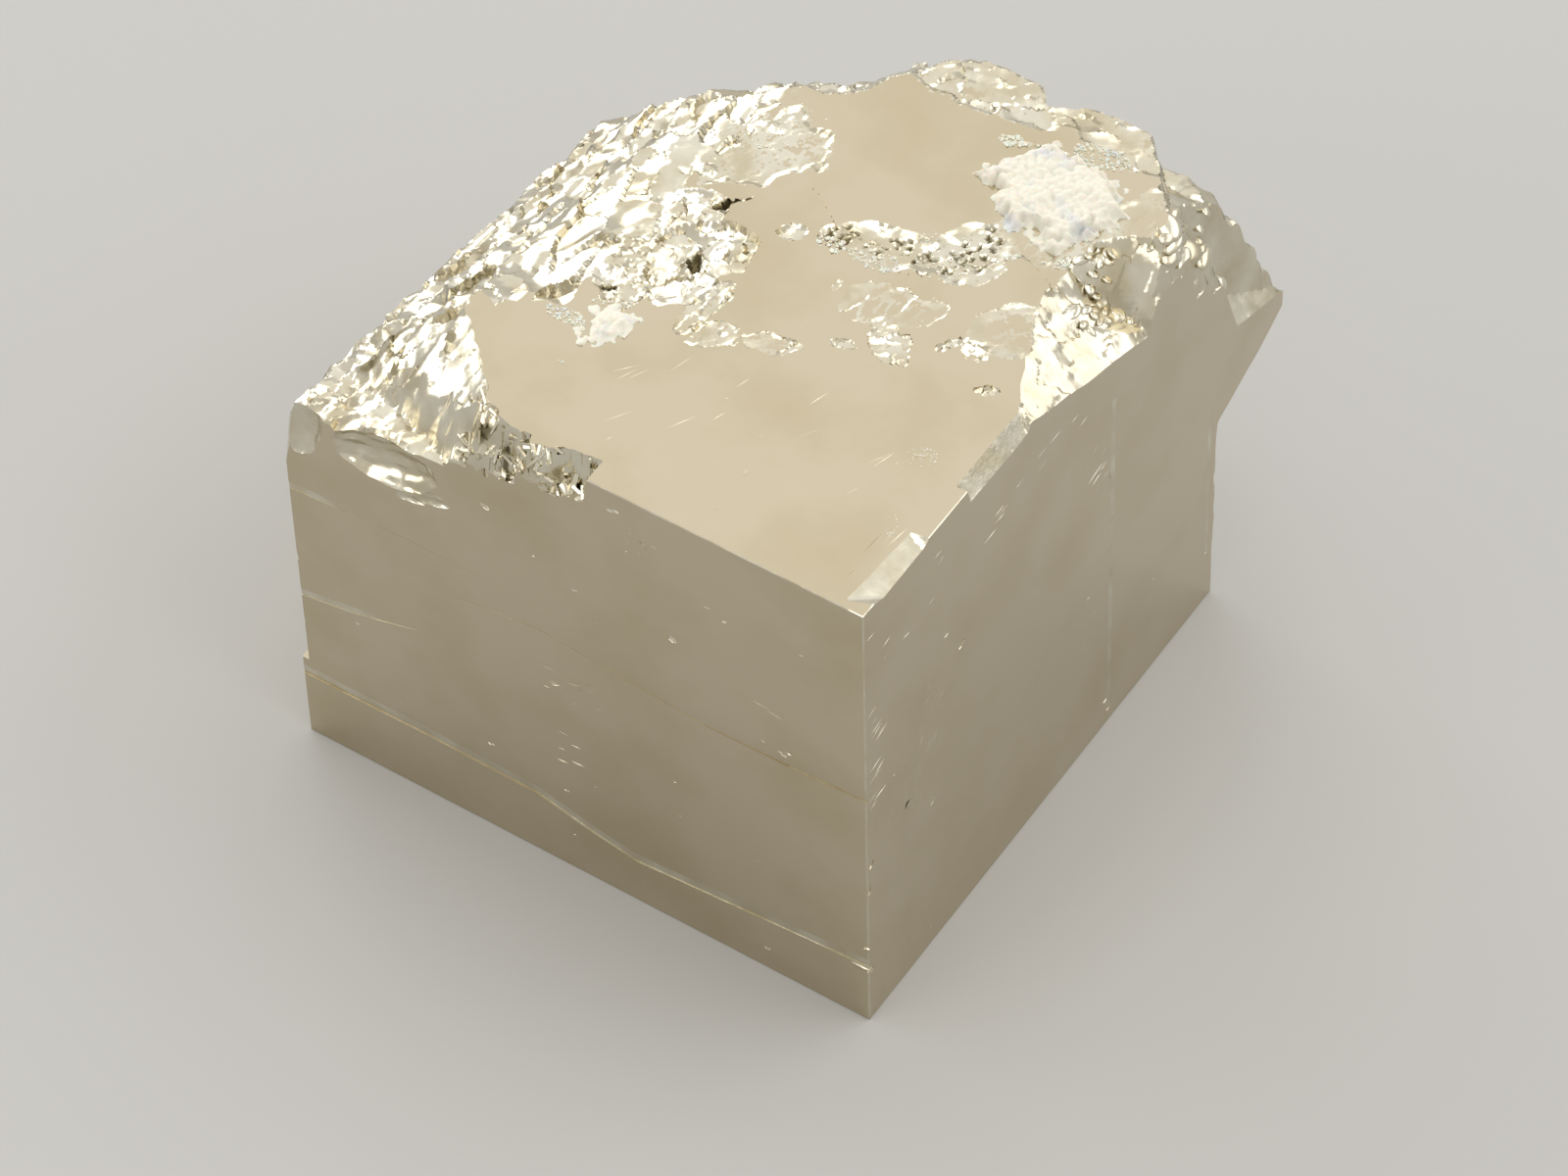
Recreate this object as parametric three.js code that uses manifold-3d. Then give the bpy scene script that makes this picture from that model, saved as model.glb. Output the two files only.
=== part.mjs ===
// A pyrite cube with three good faces and a broken crown.
//
// Crystal coordinates, in millimetres: the near vertical edge stands at x = 0, y = 0. The front
// face is the plane y = 0 and runs towards -X. The right face is the plane x = 0 and runs
// towards +Y. The crystal rests on z = 0. The group at the end moves the crystal so that the
// origin is the middle of its base.
//
// The body is a block that is cut from above by one uneven sheet, the crown, and from behind by
// another, the back. Both sheets are made of planes, hollows and small facets. Where a sheet
// passes outside the block nothing is cut, so the natural faces stay flat and their borders with
// the broken surfaces stay sharp.

import * as THREE from 'three';
import { mergeVertices } from 'three/addons/utils/BufferGeometryUtils.js';
import Module from 'manifold-3d';

const wasm = await Module();
wasm.setup();

// ---- driving dimensions ----

const FRONT = 54.1;          // length of the front face, along X
const SIDE = 51.6;           // length of the right face at its foot, along Y
const HEIGHT = 50;           // top face above the base
const OVERHANG = 9.8;        // how far the back swells past the foot, at the right
const SEAT_GAP = 0.3;        // space between a crust and its pocket
const TERRACE_STEP = 0.5;    // how far the back half of the top lies below the front half

// A break is a plane through `from` that falls towards the compass direction `toward` (degrees,
// 0 is +X, 90 is +Y) at `slope` degrees below the horizontal. It passes `from` at the height of
// the top face, or at `level` where that is given.
const LEFT_BREAK = { from: [-42, 8], toward: 171.5, slope: 45.5 };
const CORNER_BREAK = { from: [-35.6, 40.5], toward: 133.8, slope: 49.7 };
const RIGHT_BREAK = { from: [-0.5, 22], toward: 24.6, slope: 42 };
const RIGHT_STEP = { from: [-6.4, 34], toward: -8.3, slope: 60 };
const RIGHT_WALL = { from: [-4.6, 41.6], toward: -50, slope: 60 };
const BACK_BREAK = { from: [-15, 52.7], toward: 90, slope: 69 };
const END_BREAK = { from: [-3.4, 49.9], toward: 58, slope: 60 };
const RIM_BREAK = { from: [-2.2, 45.5], toward: 13, slope: 74 };

// The shoulder above the left slope, the scoop that took the near left corner, the steep side of
// that scoop, the notch along the front edge, the bevel along the right edge, the step down
// behind the right end of the top and the facet on the nose of the overhang: each is what lies
// above all of its planes.
const SHOULDER = [
  { from: [-36.2, 20], toward: 171.5, slope: 14 },
  { from: [-39.5, 12.8], toward: 118, slope: 17 },
];
const SCOOP = [
  { from: [-38.4, 5.8], toward: -135, slope: 46 },
  { from: [-45, 0], level: 41.9, toward: -135, slope: 12 },
];
const SCOOP_SIDE = [
  { from: [-37.2, 3.6], toward: -112, slope: 66 },
  { from: [-39, 0], level: 43.2, toward: 183, slope: 9 },
];
const FRONT_NOTCH = [
  { from: [-30, 1.7], toward: -90, slope: 78 },
  { from: [-24.6, 0], toward: 180, slope: 76 },
  { from: [-14.5, 0], toward: 180, slope: 15 },
];
const EDGE_BEVEL = [
  { from: [-1, 18], toward: 0, slope: 58 },
  { from: [0, 14.2], toward: 90, slope: 75 },
  { from: [0, 23.5], toward: -90, slope: 60 },
];
const END_STEP = [
  { from: [-1.3, 45.2], toward: 40.5, slope: 79 },
  { from: [-4, 39], toward: 75, slope: 22 },
];
const NOSE_FACET = [
  { from: [0, 54], level: 30.5, toward: 14, slope: 55 },
  { from: [-1.6, 55.1], level: 32.4, toward: -7, slope: 84 },
  { from: [0, 52.1], level: 36.1, toward: 80, slope: 71 },
];

// The hollow in the crest of the far corner and the scar below the scoop in the front face, as
// the centres and half axes of ellipsoids.
const CREST_HOLLOW = { centre: [-33.4, 48, 52], reach: [6, 6, 5] };
const FRONT_SCAR = { centre: [-43.6, -1.5, 39.9], reach: [5.9, 2.8, 3.2] };

// The chip off the upper part of the left vertical edge: where its plane crosses the edge, and
// how many millimetres it climbs for each millimetre away from it.
const EDGE_CHIP = { foot: 31, climb: 4.5 };

// Shallow broken dishes in the top: middle, half lengths, turn in degrees, depth.
const DISHES = [
  { at: [-31.5, 22.5], reach: [5.5, 6.5], turn: 15, depth: 0.9 },
  { at: [-18.5, 31.8], reach: [6.8, 3.2], turn: 12, depth: 0.5 },
  { at: [-12.6, 34.6], reach: [3.4, 4], turn: 30, depth: 0.5 },
  { at: [-17.5, 19.8], reach: [4.2, 1.5], turn: 20, depth: 0.4 },
  { at: [-9.4, 26.2], reach: [4.6, 1.8], turn: 10, depth: 0.4 },
];

// Steps in the broken slopes, and the facets on them.
const STEP_HEIGHT = 3.2;
const FACET = 3.3;
const FACET_TILT = 0.42;

// The overhang: heights of its foot and of its nose, where along X it fades out and where it is
// full, and how far its swelling would pass the block, which trims the nose flat.
const OVERHANG_FOOT = 21.3;
const OVERHANG_NOSE = 29;
const OVERHANG_FADE = -25;
const OVERHANG_FULL = -6;
const NOSE_TRIM = 1.18;

// The left face stands back above a low ledge.
const LEDGE_HEIGHT = 9.5;
const LEDGE_DEPTH = 0.7;

// Outlines of the two crusts, anticlockwise, and their thickness.
const LARGE_CRUST = {
  outline: [[-17, 41.9], [-14.3, 41.2], [-14.4, 40.1], [-11.4, 38.4], [-9.7, 39.2],
    [-7.7, 38.2], [-6.5, 40.2], [-4.8, 43], [-5.9, 45.8], [-7.2, 47], [-10.6, 47.6],
    [-13, 47.4], [-15, 46.2], [-15.4, 44.2]],
  top: HEIGHT + 0.35,
  thick: 1.1,
};
const SMALL_CRUST = {
  outline: [[-33.2, 11.2], [-31.1, 11.6], [-29.8, 13.1], [-30.1, 15], [-31, 15.7],
    [-32.4, 15], [-33.7, 14.3], [-33, 12.8]],
  top: HEIGHT + 0.25,
  thick: 0.9,
};

// Mesh sizes.
const CROWN_CELL = 1.35;
const BACK_CELL = 1.9;
const MARGIN = 2;

const PYRITE = { color: 0xc6b98c, roughness: 0.22, metalness: 1 };
const CRUST = { color: 0xf2eee0, roughness: 0.85, metalness: 0 };

// ---- helpers ----

/** A fixed number from 0 to 1 for whole numbers i and j and a seed. */
function chance(i, j, seed) {
  const value = Math.sin(i * 127.1 + j * 311.7 + seed * 74.7) * 43758.5453;
  return value - Math.floor(value);
}

/** Smooth value noise from -1 to 1, one bump for each unit of u and v. */
function swell(u, v, seed) {
  const i = Math.floor(u);
  const j = Math.floor(v);
  const s = THREE.MathUtils.smoothstep(u - i, 0, 1);
  const t = THREE.MathUtils.smoothstep(v - j, 0, 1);
  const low = THREE.MathUtils.lerp(chance(i, j, seed), chance(i + 1, j, seed), s);
  const high = THREE.MathUtils.lerp(chance(i, j + 1, seed), chance(i + 1, j + 1, seed), s);
  return 2 * THREE.MathUtils.lerp(low, high, t) - 1;
}

/** Height of a field of small tilted hollows that meet in sharp ridges. */
function facets(u, v, size, tilt, seed) {
  const i = Math.floor(u / size);
  const j = Math.floor(v / size);
  let lowest = Infinity;
  for (let a = i - 1; a <= i + 1; a += 1) {
    for (let b = j - 1; b <= j + 1; b += 1) {
      const du = u - (a + chance(a, b, seed)) * size;
      const dv = v - (b + chance(a, b, seed + 1)) * size;
      const leanU = tilt * (2 * chance(a, b, seed + 2) - 1);
      const leanV = tilt * (2 * chance(a, b, seed + 3) - 1);
      const hollow = (du * du + dv * dv) / (1.6 * size);
      lowest = Math.min(lowest, leanU * du + leanV * dv + hollow);
    }
  }
  return lowest - 0.1 * size;
}

/** Height of a break plane above the point x, y. */
function breakHeight(x, y, { from, toward, slope, level = HEIGHT }) {
  const angle = THREE.MathUtils.degToRad(toward);
  const away = (x - from[0]) * Math.cos(angle) + (y - from[1]) * Math.sin(angle);
  return level - Math.tan(THREE.MathUtils.degToRad(slope)) * away;
}

/** The lower side of a wedge: the highest of its planes. */
function wedgeHeight(x, y, planes) {
  return Math.max(...planes.map((plane) => breakHeight(x, y, plane)));
}

/** Turns an even slope into treads and steep risers of the same mean slope. */
function stepped(height, x, y) {
  const waver = 2.2 * swell(x / 9, y / 9, 11);
  const level = (height + waver) / STEP_HEIGHT;
  const step = Math.floor(level);
  const rest = level - step;
  const tread = 0.68;
  const rise = rest < tread ? 0.4 * rest : 0.4 * tread + (rest - tread) * (1 - 0.4 * tread) / (1 - tread);
  return (step + rise) * STEP_HEIGHT - waver + 0.22 * STEP_HEIGHT;
}

/** Lower side of an ellipsoid hollow, or its middle height outside it. */
function hollowHeight(x, y, { centre, reach }) {
  const u = (x - centre[0]) / reach[0];
  const v = (y - centre[1]) / reach[1];
  return centre[2] - reach[2] * Math.sqrt(Math.max(0, 1 - u * u - v * v));
}

/** How deep the dishes reach at x, y. */
function dishDepth(x, y) {
  return DISHES.reduce((deepest, { at, reach, turn, depth }) => {
    const place = new THREE.Vector2(x - at[0], y - at[1]);
    place.rotateAround(new THREE.Vector2(), -THREE.MathUtils.degToRad(turn));
    const round = (place.x / reach[0]) ** 2 + (place.y / reach[1]) ** 2;
    return Math.max(deepest, depth * (1 - round));
  }, -MARGIN);
}

/** The crown sheet: height of the broken and of the terraced top over x, y. */
function crown(x, y) {
  const rough = facets(x, y, FACET, FACET_TILT, 3);
  const slopes = [LEFT_BREAK, CORNER_BREAK].map((plane) => breakHeight(x, y, plane));
  const steps = [BACK_BREAK, END_BREAK].map((plane) => breakHeight(x, y, plane));
  const left = Math.min(
    stepped(Math.min(...slopes), x, y) + rough,
    wedgeHeight(x, y, SHOULDER) + 0.8 * rough,
    wedgeHeight(x, y, SCOOP) + rough,
    wedgeHeight(x, y, SCOOP_SIDE) + 0.4 * rough,
    hollowHeight(x, y, CREST_HOLLOW) + rough,
  );
  const back = stepped(Math.min(...steps), x, y) + rough;
  const rim = stepped(breakHeight(x, y, RIM_BREAK), x, y) + 0.5 * rough;
  const end = Math.min(wedgeHeight(x, y, END_STEP) + 0.5 * rough, wedgeHeight(x, y, NOSE_FACET));
  const right = wedgeHeight(x, y, [RIGHT_BREAK, RIGHT_STEP, RIGHT_WALL]) + 0.7 * rough;
  const chip = EDGE_CHIP.foot + EDGE_CHIP.climb * (x + FRONT + y);
  const notch = wedgeHeight(x, y, FRONT_NOTCH) + 0.2 * rough;
  const bevel = wedgeHeight(x, y, EDGE_BEVEL) + 0.2 * rough;
  const dish = HEIGHT - dishDepth(x, y) + 0.5 * rough;
  const terraceEdge = 29.5 + 1.5 * swell(x / 5, 0, 21);
  const terrace = y > terraceEdge ? HEIGHT - TERRACE_STEP : HEIGHT + MARGIN;
  return Math.min(left, back, rim, end, right, chip, notch, bevel, dish, terrace, HEIGHT + MARGIN);
}

/** The back sheet: how far back the block reaches at x, z. */
function back(x, z) {
  const along = THREE.MathUtils.smoothstep(x, OVERHANG_FADE, OVERHANG_FULL);
  const under = THREE.MathUtils.smoothstep(z, OVERHANG_FOOT, OVERHANG_NOSE);
  const over = 1 - 0.85 * THREE.MathUtils.smoothstep(z, OVERHANG_NOSE, HEIGHT);
  const swelling = NOSE_TRIM * OVERHANG * along * Math.sqrt(under) * over;
  const rough = facets(x, z, FACET, FACET_TILT, 31) * Math.min(1, 0.12 * z);
  return SIDE + swelling + rough * (0.25 + 0.75 * under);
}

/** A closed block between two sheets that are given as heights over u and v. */
function sheetBlock(low, high, cell, under, over) {
  const spanU = high[0] - low[0];
  const spanV = high[1] - low[1];
  const countU = Math.round(spanU / cell);
  const countV = Math.round(spanV / cell);
  const block = new THREE.BoxGeometry(spanU, spanV, 2, countU, countV, 1);
  block.translate(low[0] + spanU / 2, low[1] + spanV / 2, 0);
  const place = block.getAttribute('position');
  for (let k = 0; k < place.count; k += 1) {
    let u = place.getX(k);
    let v = place.getY(k);
    const i = Math.round((u - low[0]) / (spanU / countU));
    const j = Math.round((v - low[1]) / (spanV / countV));
    if (i > 0 && i < countU && j > 0 && j < countV) {
      u += (chance(i, j, 51) - 0.5) * 0.7 * cell;
      v += (chance(i, j, 52) - 0.5) * 0.7 * cell;
    }
    const height = place.getZ(k) < 0 ? under(u, v) : over(u, v);
    place.setXYZ(k, u, v, height);
  }
  return block;
}

/** A closed geometry as a solid. */
function solidFrom(geometry) {
  const bare = geometry.clone();
  bare.deleteAttribute('normal');
  bare.deleteAttribute('uv');
  const welded = mergeVertices(bare, 1e-4);
  return new wasm.Manifold(new wasm.Mesh({
    numProp: 3,
    vertProperties: Float32Array.from(welded.getAttribute('position').array),
    triVerts: Uint32Array.from(welded.index.array),
  }));
}

/** A solid as a geometry. */
function geometryFrom(solid) {
  const mesh = solid.getMesh();
  const geometry = new THREE.BufferGeometry();
  geometry.setAttribute('position', new THREE.BufferAttribute(mesh.vertProperties, 3));
  geometry.setIndex(new THREE.BufferAttribute(mesh.triVerts, 1));
  return geometry;
}

/** A block of the given size with its low corner at x, y, z. */
function blockAt(x, y, z, sizeX, sizeY, sizeZ) {
  const block = new THREE.BoxGeometry(sizeX, sizeY, sizeZ);
  return block.translate(x + sizeX / 2, y + sizeY / 2, z + sizeZ / 2);
}

/** A crust: its outline drawn up with a bevelled, thinner rim; spread makes it wider. */
function crustGeometry({ outline, top, thick }, spread) {
  const shape = new THREE.Shape(outline.map(([x, y]) => new THREE.Vector2(x, y)));
  const geometry = new THREE.ExtrudeGeometry(shape, {
    depth: thick - 0.4 + spread,
    bevelThickness: 0.2,
    bevelSize: 0.5,
    bevelOffset: spread - 0.5,
    bevelSegments: 1,
  });
  return geometry.translate(0, 0, top - thick + 0.2 - spread);
}

// ---- the pyrite ----

/** The crystal: the block less the crown, the back, the ledge, the scar and the pockets. */
function makePyrite() {
  const block = solidFrom(blockAt(-FRONT, 0, 0, FRONT, SIDE + OVERHANG, HEIGHT));
  const lid = HEIGHT + 2 * MARGIN;
  const far = SIDE + OVERHANG + MARGIN;
  const aboveCrown = sheetBlock([-FRONT - MARGIN, -MARGIN], [MARGIN, far], CROWN_CELL,
    crown, () => lid);
  const behindBack = sheetBlock([-FRONT - MARGIN, -MARGIN], [MARGIN, lid], BACK_CELL,
    () => -far, (x, z) => -back(x, z)).rotateX(Math.PI / 2);
  const besideLedge = blockAt(-FRONT - MARGIN, -MARGIN, LEDGE_HEIGHT,
    MARGIN + LEDGE_DEPTH, far + MARGIN, lid);
  const scar = new THREE.SphereGeometry(1, 16, 10).rotateZ(Math.PI / 16)
    .scale(...FRONT_SCAR.reach).translate(...FRONT_SCAR.centre);
  const pockets = [LARGE_CRUST, SMALL_CRUST].map((crust) => crustGeometry(crust, SEAT_GAP));
  return [aboveCrown, behindBack, besideLedge, scar, ...pockets].reduce(
    (rest, cut) => rest.subtract(solidFrom(cut)), block);
}

// ---- the assembly ----

function namedMesh(name, geometry, look) {
  const mesh = new THREE.Mesh(geometry, new THREE.MeshStandardMaterial(look));
  mesh.name = name;
  return mesh;
}

const specimen = new THREE.Group();
specimen.add(
  namedMesh('pyrite_cube', geometryFrom(makePyrite()), PYRITE),
  namedMesh('white_crust_large', crustGeometry(LARGE_CRUST, 0), CRUST),
  namedMesh('white_crust_small', crustGeometry(SMALL_CRUST, 0), CRUST),
);
specimen.position.set(FRONT / 2, -(SIDE + OVERHANG) / 2, 0);

export default specimen;
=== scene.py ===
"""A pyrite cube with a broken crown, an overhanging back corner and white crusts.

Crystal coordinates are millimetres from the foot of the near vertical edge: the front face is
y = 0 and runs to -X, the right face is x = 0 and runs to +Y, and the crystal rests on z = 0.
Every piece is built in them and then set on the frame, which gives metres.
"""

import logging
import math
from dataclasses import dataclass, field
from enum import Enum
from typing import Callable

import bmesh
import bpy
import numpy as np
from mathutils import Matrix, Vector

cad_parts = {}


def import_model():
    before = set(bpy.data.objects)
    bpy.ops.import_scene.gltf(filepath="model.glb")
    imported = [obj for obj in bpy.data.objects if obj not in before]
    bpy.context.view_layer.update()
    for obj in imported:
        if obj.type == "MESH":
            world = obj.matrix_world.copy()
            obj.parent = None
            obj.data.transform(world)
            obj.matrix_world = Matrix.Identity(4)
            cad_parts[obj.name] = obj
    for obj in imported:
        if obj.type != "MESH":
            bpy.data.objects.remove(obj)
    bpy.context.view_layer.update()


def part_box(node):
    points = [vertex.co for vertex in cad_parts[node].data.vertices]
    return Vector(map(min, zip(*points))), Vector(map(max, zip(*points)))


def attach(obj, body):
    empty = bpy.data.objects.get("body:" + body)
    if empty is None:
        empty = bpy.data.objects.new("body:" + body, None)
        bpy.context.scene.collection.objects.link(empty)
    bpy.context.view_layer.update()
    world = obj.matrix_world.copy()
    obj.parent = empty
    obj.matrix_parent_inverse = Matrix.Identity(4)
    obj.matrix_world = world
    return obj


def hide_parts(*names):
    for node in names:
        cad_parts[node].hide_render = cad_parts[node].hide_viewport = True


Field = np.ndarray
Colour = tuple[float, float, float]
Place = tuple[float, float]
Point = tuple[float, float, float]

BODY = "root"
MILLIMETRE = 0.001

FRONT = 54.1          # front face, along X
SIDE = 51.6           # right face at its foot, along Y
HEIGHT = 50.0         # top face above the base
OVERHANG = 9.8        # how far the back swells past the foot, at the right
TERRACE_DROP = 0.5    # how far the back half of the top lies below the front half
LEDGE_HEIGHT = 9.5    # the left face stands back above this height
LEDGE_DEPTH = 0.7     # and by this much
MARGIN = 2.0          # how far a cutting block stands outside the crystal
STRAY = 0.6           # how far a mesh corner strays from its grid, over the cell
PROUD = 0.17          # how far a mark's cutting shape stands out, over its depth
MOST_SIDES = 4        # a face with more sides is split after a cut
FULL_TURN = 6.28      # radians
SCRAMBLE = (127.1, 311.7, 74.7, 43758.5453)     # factors that make the numbers look random

log = logging.getLogger("pyrite")


# ---- number fields: fixed patterns over a plane ----


def chance(i: Field, j: Field, seed: float) -> Field:
    """Gives a fixed number from 0 to 1 for each pair of whole numbers.

    Args:
        i: Whole numbers along the first axis.
        j: Whole numbers along the second axis.
        seed: Picks one of many patterns.

    Returns:
        A field of the same shape.
    """
    value = np.sin(i * SCRAMBLE[0] + j * SCRAMBLE[1] + seed * SCRAMBLE[2]) * SCRAMBLE[3]
    return value - np.floor(value)


def ease(value: Field, low: float = 0.0, high: float = 1.0) -> Field:
    """Runs smoothly from 0 at low to 1 at high."""
    t = np.clip((value - low) / (high - low), 0.0, 1.0)
    return t * t * (3.0 - 2.0 * t)


def swell(u: Field, v: Field, seed: float) -> Field:
    """Smooth noise with one bump for each unit of u and v.

    Args:
        u: Places along the first axis.
        v: Places along the second axis.
        seed: Picks one of many patterns.

    Returns:
        A field from -1 to 1.
    """
    i, j = np.floor(u), np.floor(v)
    s, t = ease(u - i), ease(v - j)
    low = chance(i, j, seed) * (1 - s) + chance(i + 1, j, seed) * s
    high = chance(i, j + 1, seed) * (1 - s) + chance(i + 1, j + 1, seed) * s
    return 2.0 * (low * (1 - t) + high * t) - 1.0


@dataclass(frozen=True)
class Cells:
    """Irregular cells over a plane, each with numbers of its own.

    Attributes:
        size: Mean width of a cell across the grain.
        seed: Picks the pattern.
        stretch: Length of a cell along the grain over its width.
        grain: Direction of the grain in degrees from +X.
        wander: How far the borders stray from straight lines, over the size.
    """

    size: float
    seed: float
    stretch: float = 1.0
    grain: float = 90.0
    wander: float = 0.0

    def near(self, x: Field, y: Field) -> list[tuple[Field, Field, Field, Field]]:
        """Finds the nine cells about each place.

        Args:
            x: Places along X.
            y: Places along Y.

        Returns:
            For each cell, the offsets from its middle and its two whole numbers.
        """
        angle = math.radians(self.grain - 90.0)
        stray = self.wander * self.size
        u = x * math.cos(angle) + y * math.sin(angle)
        v = (y * math.cos(angle) - x * math.sin(angle)) / self.stretch
        u, v = (u + stray * swell(u / self.size, v / self.size, self.seed + 6),
                v + stray * swell(u / self.size, v / self.size, self.seed + 7))
        i, j = np.floor(u / self.size), np.floor(v / self.size)
        found = []
        for a in (-1, 0, 1):
            for b in (-1, 0, 1):
                p, q = i + a, j + b
                du = u - (p + chance(p, q, self.seed)) * self.size
                dv = v - (q + chance(p, q, self.seed + 1)) * self.size
                found.append((du, dv, p, q))
        return found


@dataclass(frozen=True)
class Hollows(Cells):
    """Small tilted hollows that meet in sharp ridges, as where metal ore has splintered.

    Attributes:
        tilt: Largest lean of a hollow, as rise over run.
        flat: Larger values make flatter hollows.
        sink: Drop that brings the mean near zero, over the size.
    """

    tilt: float = 0.4
    flat: float = 1.6
    sink: float = 0.1

    def height(self, x: Field, y: Field) -> Field:
        """Works out the relief.

        Args:
            x: Places along X.
            y: Places along Y.

        Returns:
            The height, about zero on average.
        """
        lowest = np.full(np.shape(x), np.inf)
        for du, dv, p, q in self.near(x, y):
            lean_u = self.tilt * (2 * chance(p, q, self.seed + 2) - 1)
            lean_v = self.tilt * (2 * chance(p, q, self.seed + 3) - 1)
            bowl = (du * du + dv * dv) / (self.flat * self.size)
            lowest = np.minimum(lowest, lean_u * du + lean_v * dv + bowl)
        return lowest - self.sink * self.size


@dataclass(frozen=True)
class Plates(Cells):
    """Flat tilted plates with small cliffs between them, as where crystal has cleaved.

    Attributes:
        tilt: Largest lean of a plate, as rise over run.
        cliff: Largest step up or down of a whole plate.
        seam: Depth of the crease between plates.
        lean: Rise of every plate along X and along Y, on top of its own tilt.
        crease: Width of the crease, over the size.
    """

    tilt: float = 0.4
    cliff: float = 0.0
    seam: float = 0.0
    lean: Place = (0.0, 0.0)
    crease: float = 0.18

    def height(self, x: Field, y: Field) -> Field:
        """Works out the relief.

        Args:
            x: Places along X.
            y: Places along Y.

        Returns:
            The height, about zero on average.
        """
        angle = math.radians(self.grain - 90.0)
        along = (-self.stretch * math.sin(angle), self.stretch * math.cos(angle))
        mean_u = self.lean[0] * math.cos(angle) + self.lean[1] * math.sin(angle)
        mean_v = self.lean[0] * along[0] + self.lean[1] * along[1]
        nearest = np.full(np.shape(x), np.inf)
        second = np.full(np.shape(x), np.inf)
        value = np.zeros(np.shape(x))
        for du, dv, p, q in self.near(x, y):
            away = du * du + dv * dv
            closer = away < nearest
            lean_u = mean_u + self.tilt * (2 * chance(p, q, self.seed + 2) - 1)
            lean_v = mean_v + self.tilt * (2 * chance(p, q, self.seed + 3) - 1)
            step = self.cliff * (2 * chance(p, q, self.seed + 4) - 1)
            second = np.where(closer, nearest, np.minimum(second, away))
            value = np.where(closer, lean_u * du + lean_v * dv + step, value)
            nearest = np.minimum(nearest, away)
        border = (np.sqrt(second) - np.sqrt(nearest)) / self.size
        return value - self.seam * (1 - ease(border, 0.0, self.crease))


@dataclass(frozen=True)
class Pits(Cells):
    """Scattered little pits.

    Attributes:
        width: Largest width of a pit.
        depth: Largest depth of a pit.
        share: Share of the cells that hold one.
        floor: Share of the way out over which the bottom is flat.
    """

    width: float = 0.6
    depth: float = 0.4
    share: float = 1.0
    floor: float = 0.45

    def depth_at(self, x: Field, y: Field) -> Field:
        """Works out the relief.

        Args:
            x: Places along X.
            y: Places along Y.

        Returns:
            The depth, zero between the pits.
        """
        deepest = np.zeros(np.shape(x))
        for du, dv, p, q in self.near(x, y):
            reach = self.width * (0.25 + 0.25 * chance(p, q, self.seed + 2))
            away = np.sqrt(du * du + dv * dv) / reach
            here = self.depth * (0.4 + 0.6 * chance(p, q, self.seed + 3))
            here = here * (chance(p, q, self.seed + 4) < self.share)
            deepest = np.maximum(deepest, here * (1 - ease(away, self.floor, 1.0)))
        return deepest


@dataclass(frozen=True)
class Oval:
    """An oval area of the top.

    Attributes:
        at: Its middle in x and y.
        reach: Its half lengths.
        turn: How far the first half length is turned from +X, in degrees.
    """

    at: Place
    reach: Place
    turn: float = 0.0

    def fill(self, x: Field, y: Field) -> Field:
        """Tells how far inside the oval each place lies.

        Args:
            x: Places along X.
            y: Places along Y.

        Returns:
            1 in the middle, 0 on the border and less than 0 outside.
        """
        angle = math.radians(self.turn)
        dx, dy = x - self.at[0], y - self.at[1]
        u = (dx * math.cos(angle) + dy * math.sin(angle)) / self.reach[0]
        v = (dy * math.cos(angle) - dx * math.sin(angle)) / self.reach[1]
        return 1.0 - u * u - v * v

    def point(self, first: float, second: float) -> Place:
        """Picks a place in the oval.

        Args:
            first: Number from 0 to 1 that sets how far out it lies.
            second: Number from 0 to 1 that sets its direction.

        Returns:
            The place in x and y.
        """
        away, around = math.sqrt(first), 2 * math.pi * second
        angle = math.radians(self.turn)
        u = self.reach[0] * away * math.cos(around)
        v = self.reach[1] * away * math.sin(around)
        return (self.at[0] + u * math.cos(angle) - v * math.sin(angle),
                self.at[1] + u * math.sin(angle) + v * math.cos(angle))


# ---- the broken sheets ----


@dataclass(frozen=True)
class Break:
    """A broken plane through a point, falling towards a compass direction.

    Attributes:
        start: Point in x and y that the plane passes.
        toward: Direction of its fall in degrees, 0 along +X and 90 along +Y.
        slope: Fall below the horizontal in degrees.
        level: Height at the start.
    """

    start: Place
    toward: float
    slope: float
    level: float = HEIGHT

    def height(self, x: Field, y: Field) -> Field:
        """Works out the plane.

        Args:
            x: Places along X.
            y: Places along Y.

        Returns:
            Its height.
        """
        angle = math.radians(self.toward)
        away = (x - self.start[0]) * math.cos(angle) + (y - self.start[1]) * math.sin(angle)
        return self.level - math.tan(math.radians(self.slope)) * away


def wedge(planes: tuple[Break, ...], x: Field, y: Field) -> Field:
    """Gives the lower side of what lies above all of several planes."""
    return np.maximum.reduce([plane.height(x, y) for plane in planes])


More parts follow.
